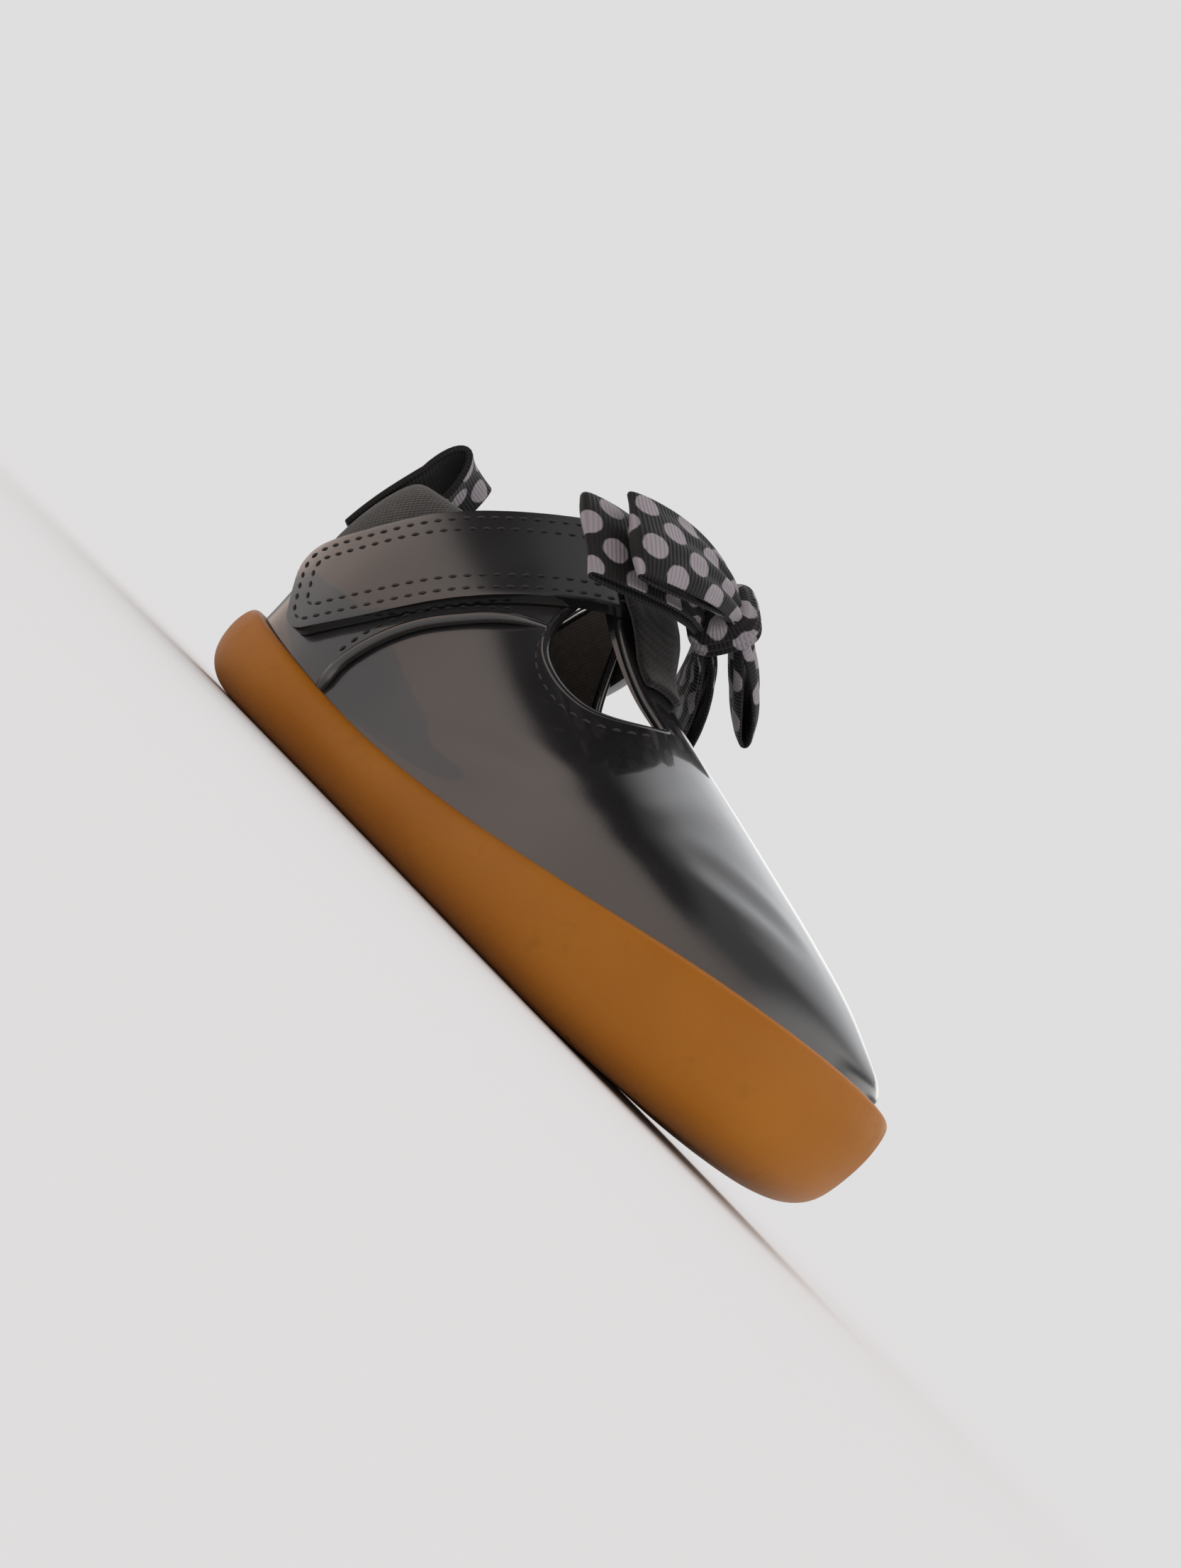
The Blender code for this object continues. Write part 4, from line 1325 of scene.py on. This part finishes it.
def make_knot(around_count=56, rows=28):
    """The ribbon wrapped over the middle of the bow, with its pleats running round."""
    seat, out, width, up = bow_frame(BOW_TURN)

    def rounded(value):
        return np.sign(value) * abs(value) ** KNOT_SQUARE

    rings = []
    for r in range(rows + 1):
        v = 2 * r / rows - 1
        closing = max(1 - abs(v) ** KNOT_CLOSING[0], 0.0) ** KNOT_CLOSING[1]
        ring = []
        for k in range(around_count):
            angle = 2 * pi * k / around_count
            pleat = 1 + KNOT_PLEAT * cos(KNOT_PLEATS * pi * v + KNOT_WANDER * sin(2 * angle)) * closing
            drawn = closing * pleat * KNOT_SLACK / 2
            a = v * KNOT_SIZE[0] / 2
            b = rounded(cos(angle)) * KNOT_SIZE[1] * drawn
            c = KNOT_SIZE[2] / 2 + rounded(sin(angle)) * KNOT_SIZE[2] * drawn
            ring.append(seat + out * a + width * b + up * c)
        rings.append(ring)
    knot = loft("bow_knot_ribbon", rings)
    run = knot.data.attributes.new("ribbon", "FLOAT_VECTOR", "POINT")
    seat_place = set_place(seat)
    for k, vertex in enumerate(knot.data.vertices):
        here = (vertex.co - seat_place) / MM
        turned = atan2(here.dot(Vector(width)), here.dot(Vector(up)) - KNOT_SIZE[2] / 2)
        along = turned * KNOT_SIZE[2] / 2 + KNOT_PRINT[0]
        run.data[k].vector = (along, here.dot(Vector(out)) * KNOT_PRINT[1], 0.0)
    smooth_by_angle(knot, SOFT_ANGLE)
    return dress(knot, "ribbon", "bow_knot", RIBBON)


def make_tab(across=14):
    """A folded ribbon over the back of the collar."""
    outside = COLLAR_PUFF + TAB_CLEAR + TAB_THICK / 2
    inside = -COLLAR_WALL - TAB_CLEAR - TAB_THICK / 2
    high = TAB_TOP - TAB_THICK / 2 - TAB_FOLD
    rising = np.linspace(TAB_LOW, TAB_FOLD, TAB_STEPS[0])
    turning = np.linspace(0, pi, TAB_STEPS[1])[1:-1]
    falling = np.linspace(TAB_FOLD, TAB_INSIDE, TAB_STEPS[2])
    strips = []
    for k in range(across + 1):
        turn = 1 + TAB_TURN * (2 * k / across - 1)
        strip = [wall(turn, rise_at(turn, z), outside) for z in rising]
        back = wall(turn, rise_at(turn, TAB_FOLD), inside)
        middle, half = (strip[-1] + back) / 2, (strip[-1] - back) / 2
        for angle in turning:
            strip.append(middle + half * cos(angle) + np.array([0.0, 0.0, high * sin(angle)]))
        strip += [wall(turn, rise_at(turn, z), inside) for z in falling]
        strips.append(strip)
    count = len(strips[0])
    runs = np.concatenate([[0], np.cumsum(np.linalg.norm(np.diff(strips[across // 2], axis=0), axis=1))])

    def place(u, v):
        return strips[int(round(v * across))][int(round(u * (count - 1)))]

    def pattern(u, v):
        return runs[int(round(u * (count - 1)))], TAB_WIDE * (v - 0.5) + TAB_PRINT
    tab = sheet("pull_tab_ribbon", count - 1, across, place, pattern)
    cover(tab, RIBBON, RIBBON_BACK)
    face_out(tab, TAB_MIDDLE)
    thicken(tab, TAB_THICK, 0.0, material_offset=1, material_offset_rim=1)
    ease_edges(tab, TAB_EDGE, 2)
    smooth_by_angle(tab, EDGE_ANGLE)
    return dress(tab, "ribbon", "pull_tab")


# Stitches

def make_stitch():
    """One stitch: a ball drawn long and low, its two ends bent down into the material."""
    bpy.ops.object.select_all(action="DESELECT")
    bpy.ops.mesh.primitive_uv_sphere_add(segments=8, ring_count=6, radius=MM, rotation=(0, pi / 2, 0))
    stitch = named("stitch")
    bpy.ops.object.transform_apply(rotation=True)
    bpy.ops.object.mode_set(mode="EDIT")
    bpy.ops.mesh.select_all(action="SELECT")
    bpy.ops.transform.resize(value=(STITCH_LONG / 2, STITCH_RADIUS, STITCH_RADIUS))
    bpy.ops.object.mode_set(mode="OBJECT")
    for vertex in stitch.data.vertices:
        vertex.co.z -= STITCH_BEND * MM * (vertex.co.x / (STITCH_LONG / 2 * MM)) ** 2
    for face in stitch.data.polygons:
        face.use_smooth = True
    return stitch


def sew(name, slot, stitch, base, rows, closed=False):
    """Copies of the stitch along some rows, each on the face of the piece that it is sewn through."""
    copies = []
    for row in rows:
        path = even(row, STITCH_PITCH, closed)
        for k in range(len(path) - (0 if closed else 1)):
            here, after = path[k], path[(k + 1) % len(path)]
            middle = set_place((here + after) / 2)
            along = (set_place(after) - set_place(here)).normalized()
            found, at, normal, _ = base.closest_point_on_mesh(middle)
            if not found or (at - middle).length > STITCH_REACH * MM:
                continue
            side = normal.cross(along).normalized()
            along = side.cross(normal)
            copy = stitch.copy()
            copy.data = stitch.data.copy()
            turned = Matrix((along, side, normal)).transposed().to_4x4()
            copy.data.transform(Matrix.Translation(at + normal * STITCH_PROUD * MM) @ turned)
            bpy.context.collection.objects.link(copy)
            copies.append(copy)
    sewn = joined(copies)
    sewn.name = sewn.data.name = name
    return dress(sewn, slot, None, THREAD)


def eye_rows(inset):
    """A row of stitches beside the free edge of each eye."""
    rows = []
    for side in (-1, 1):
        row = []
        for x, z in eye_line():
            if x < EYE_BACK[-1].x - EYE_ROW_FROM or z > ridge(x) - EYE_ROW_BELOW:
                continue
            row.append(on_side(x + EYE_ROW_LEAN * inset, z - inset, side, 0.0))
        rows.append(eased(even(row, ROW_PITCH), EYE_ROW_PASSES))
    return rows


def seam_rows(inset):
    """A row of stitches on the quarter under the collar's seam."""
    front = COLLAR_FRONT - SEAM_ROW_SHORT
    first, last = [turn_at(front, seam_height(front), side) for side in (-1, 1)]
    turns = [first + (last - first) * k / SEAM_ROW_STEPS for k in range(SEAM_ROW_STEPS + 1)]
    return [[seam_point(turn, 0.0, -inset) for turn in turns]]


def piping_rows(shift):
    rows = []
    for side in (-1, 1):
        marks = [on_side(m.x - shift, m.z + PIPING_ROW_RISE * shift, side) for m in PIPING[1:]]
        rows.append(curve_through(marks, PIPING_ROW_STEPS)[0])
    return rows


def make_all():
    make_outsole()
    make_sock()
    lines = crease_lines()
    upper = make_upper(lines)
    make_edge_fold()
    make_collar()
    guide = loft("last_guide", skin_rows(*GUIDE_GRID))
    smooth_by_angle(guide, SOFT_ANGLE)
    strap_path = strap_lines()
    strap = make_strap(strap_path, guide)
    bpy.data.objects.remove(guide)
    make_saddle()
    make_piping("piping_near_bead", -1)
    make_piping("piping_far_bead", 1)
    for row in LOOPS:
        make_loop(row)
    make_knot()
    make_tab()
    stitch = make_stitch()
    sew("strap_stitches", "patent", stitch, strap, strap_rows(strap_path), True)
    rows = eye_rows(EYE_ROW) + seam_rows(SEAM_ROW) + piping_rows(PIPING_ROW)
    sew("upper_stitches", "patent", stitch, upper, rows)
    bpy.data.objects.remove(stitch)


# Studio

CAMERA_TURN = 29.2
CAMERA_ROLL = -45.0
CAMERA_FAR = 215.0
CAMERA_HEIGHT = 4.0
CAMERA_AIM = (76.0, 0.0, 33.0)
PHOTO_TALL = 2212
PHOTO_FOCUS = 1800.0
SENSOR = 36.0
CAMERA_CLIP = 0.005


def make_camera():
    data = bpy.data.cameras.new("studio_camera")
    camera = bpy.data.objects.new("studio_camera", data)
    bpy.context.collection.objects.link(camera)
    data.sensor_fit = "VERTICAL"
    data.sensor_height = SENSOR
    data.sensor_width = SENSOR
    data.lens = PHOTO_FOCUS / PHOTO_TALL * SENSOR
    data.clip_start = CAMERA_CLIP
    a = radians(CAMERA_TURN)
    aim = set_place(CAMERA_AIM)
    eye = aim + Vector((sin(a), -cos(a), 0.0)) * CAMERA_FAR * MM
    eye.z = CAMERA_HEIGHT * MM
    look = (aim - eye).to_track_quat("-Z", "Y")
    camera.matrix_world = Matrix.Translation(eye) @ look.to_matrix().to_4x4() @ Matrix.Rotation(
        radians(-CAMERA_ROLL), 4, "Z")
    bpy.context.scene.camera = camera


SUN_POWER = 0.5
SUN_WIDE = 40.0
SUN_FROM = (-0.20, 0.40, 0.88)
TENT_POWER = 2.4
TENT = [
    (0.0, (0.45, 0.36, 0.32)),
    (0.42, (0.42, 0.36, 0.33)),
    (0.68, (0.15, 0.15, 0.155)),
    (1.0, (0.14, 0.14, 0.145)),
]
TENT_DARK = (0.015, 0.015, 0.018)
PANEL = (0.46, 0.465, 0.475)
PANEL_AT = (-0.20, 0.50, 0.84)
PANEL_EDGES = (0.66, 0.94)
FRONT = (0.60, 0.59, 0.58)
FAR_DARK = (0.10, 0.10, 0.105)
FAR_STRIP = (0.50, 0.495, 0.485)
BACKDROP = (0.735, 0.735, 0.735, 1.0)
FLOOR_WIDE = 12.0

# Where each part of the tent begins and ends: along the shoe, across it or up, on a ball one unit in radius
DARK_HEIGHTS = ((0.48, 0.62), (0.74, 0.90))
DARK_ENDS = (-0.45, -0.1)
FRONT_FROM = (0.35, 0.8)
FRONT_ABOVE = (0.0, 0.3)
FAR_FROM = (0.15, 0.5)
FAR_BELOW = (0.5, 0.65)
STRIP_HEIGHTS = ((0.12, 0.20), (0.34, 0.46))


def make_top_light():
    """A soft lamp high behind the shoe, which the patent doesn't mirror."""
    data = bpy.data.lights.new("top_light", "SUN")
    data.energy = SUN_POWER
    data.angle = radians(SUN_WIDE)
    light = bpy.data.objects.new("top_light", data)
    bpy.context.collection.objects.link(light)
    light.matrix_world = (-Vector(SUN_FROM)).to_track_quat("-Z", "Y").to_matrix().to_4x4()
    light.visible_glossy = False


def make_tent():
    """A studio tent: warm walls, a dim roof with one soft panel, a dark gap, a bright front and a long
    strip of light on the far side, and a pale backdrop."""
    world = bpy.data.worlds.new("studio")
    bpy.context.scene.world = world
    world.use_nodes = True
    tent = Nodes(world.node_tree)
    forward, aside, height = tent.axes(tent.node("ShaderNodeTexCoord", out="Generated"))
    walls = tent.node("ShaderNodeValToRGB", {"stops": TENT}, {"Fac": height})
    gap = tent.band(height, *DARK_HEIGHTS) * (1 - tent.step(forward, *DARK_ENDS))
    walls = tent.blend(gap, walls, TENT_DARK)
    walls = tent.blend(tent.step(forward, *FRONT_FROM) * tent.step(height, *FRONT_ABOVE), walls, FRONT)
    far = tent.step(aside, *FAR_FROM)
    walls = tent.blend(far * (1 - tent.step(height, *FAR_BELOW)), walls, FAR_DARK)
    walls = tent.blend(far * tent.band(height, *STRIP_HEIGHTS), walls, FAR_STRIP)
    towards = forward * PANEL_AT[0] + aside * PANEL_AT[1] + height * PANEL_AT[2]
    walls = tent.blend(tent.step(towards, *PANEL_EDGES), walls, PANEL)
    lit = tent.node("ShaderNodeBackground", inputs={"Color": walls, "Strength": TENT_POWER})
    seen = tent.node("ShaderNodeBackground", inputs={"Color": BACKDROP, "Strength": 1.0})
    straight = tent.node("ShaderNodeLightPath", out="Is Camera Ray")
    mixed = tent.node("ShaderNodeMixShader", inputs={0: straight, 1: lit, 2: seen})
    tent.feed(world.node_tree.nodes["World Output"].inputs["Surface"], mixed)


def make_stage():
    bpy.ops.object.select_all(action="DESELECT")
    bpy.ops.mesh.primitive_plane_add(size=FLOOR_WIDE)
    floor = named("studio_floor")
    floor.data.materials.append(make_floor())


bpy.context.scene.view_settings.view_transform = "Standard"
make_all()
make_stage()
make_top_light()
make_tent()
make_camera()
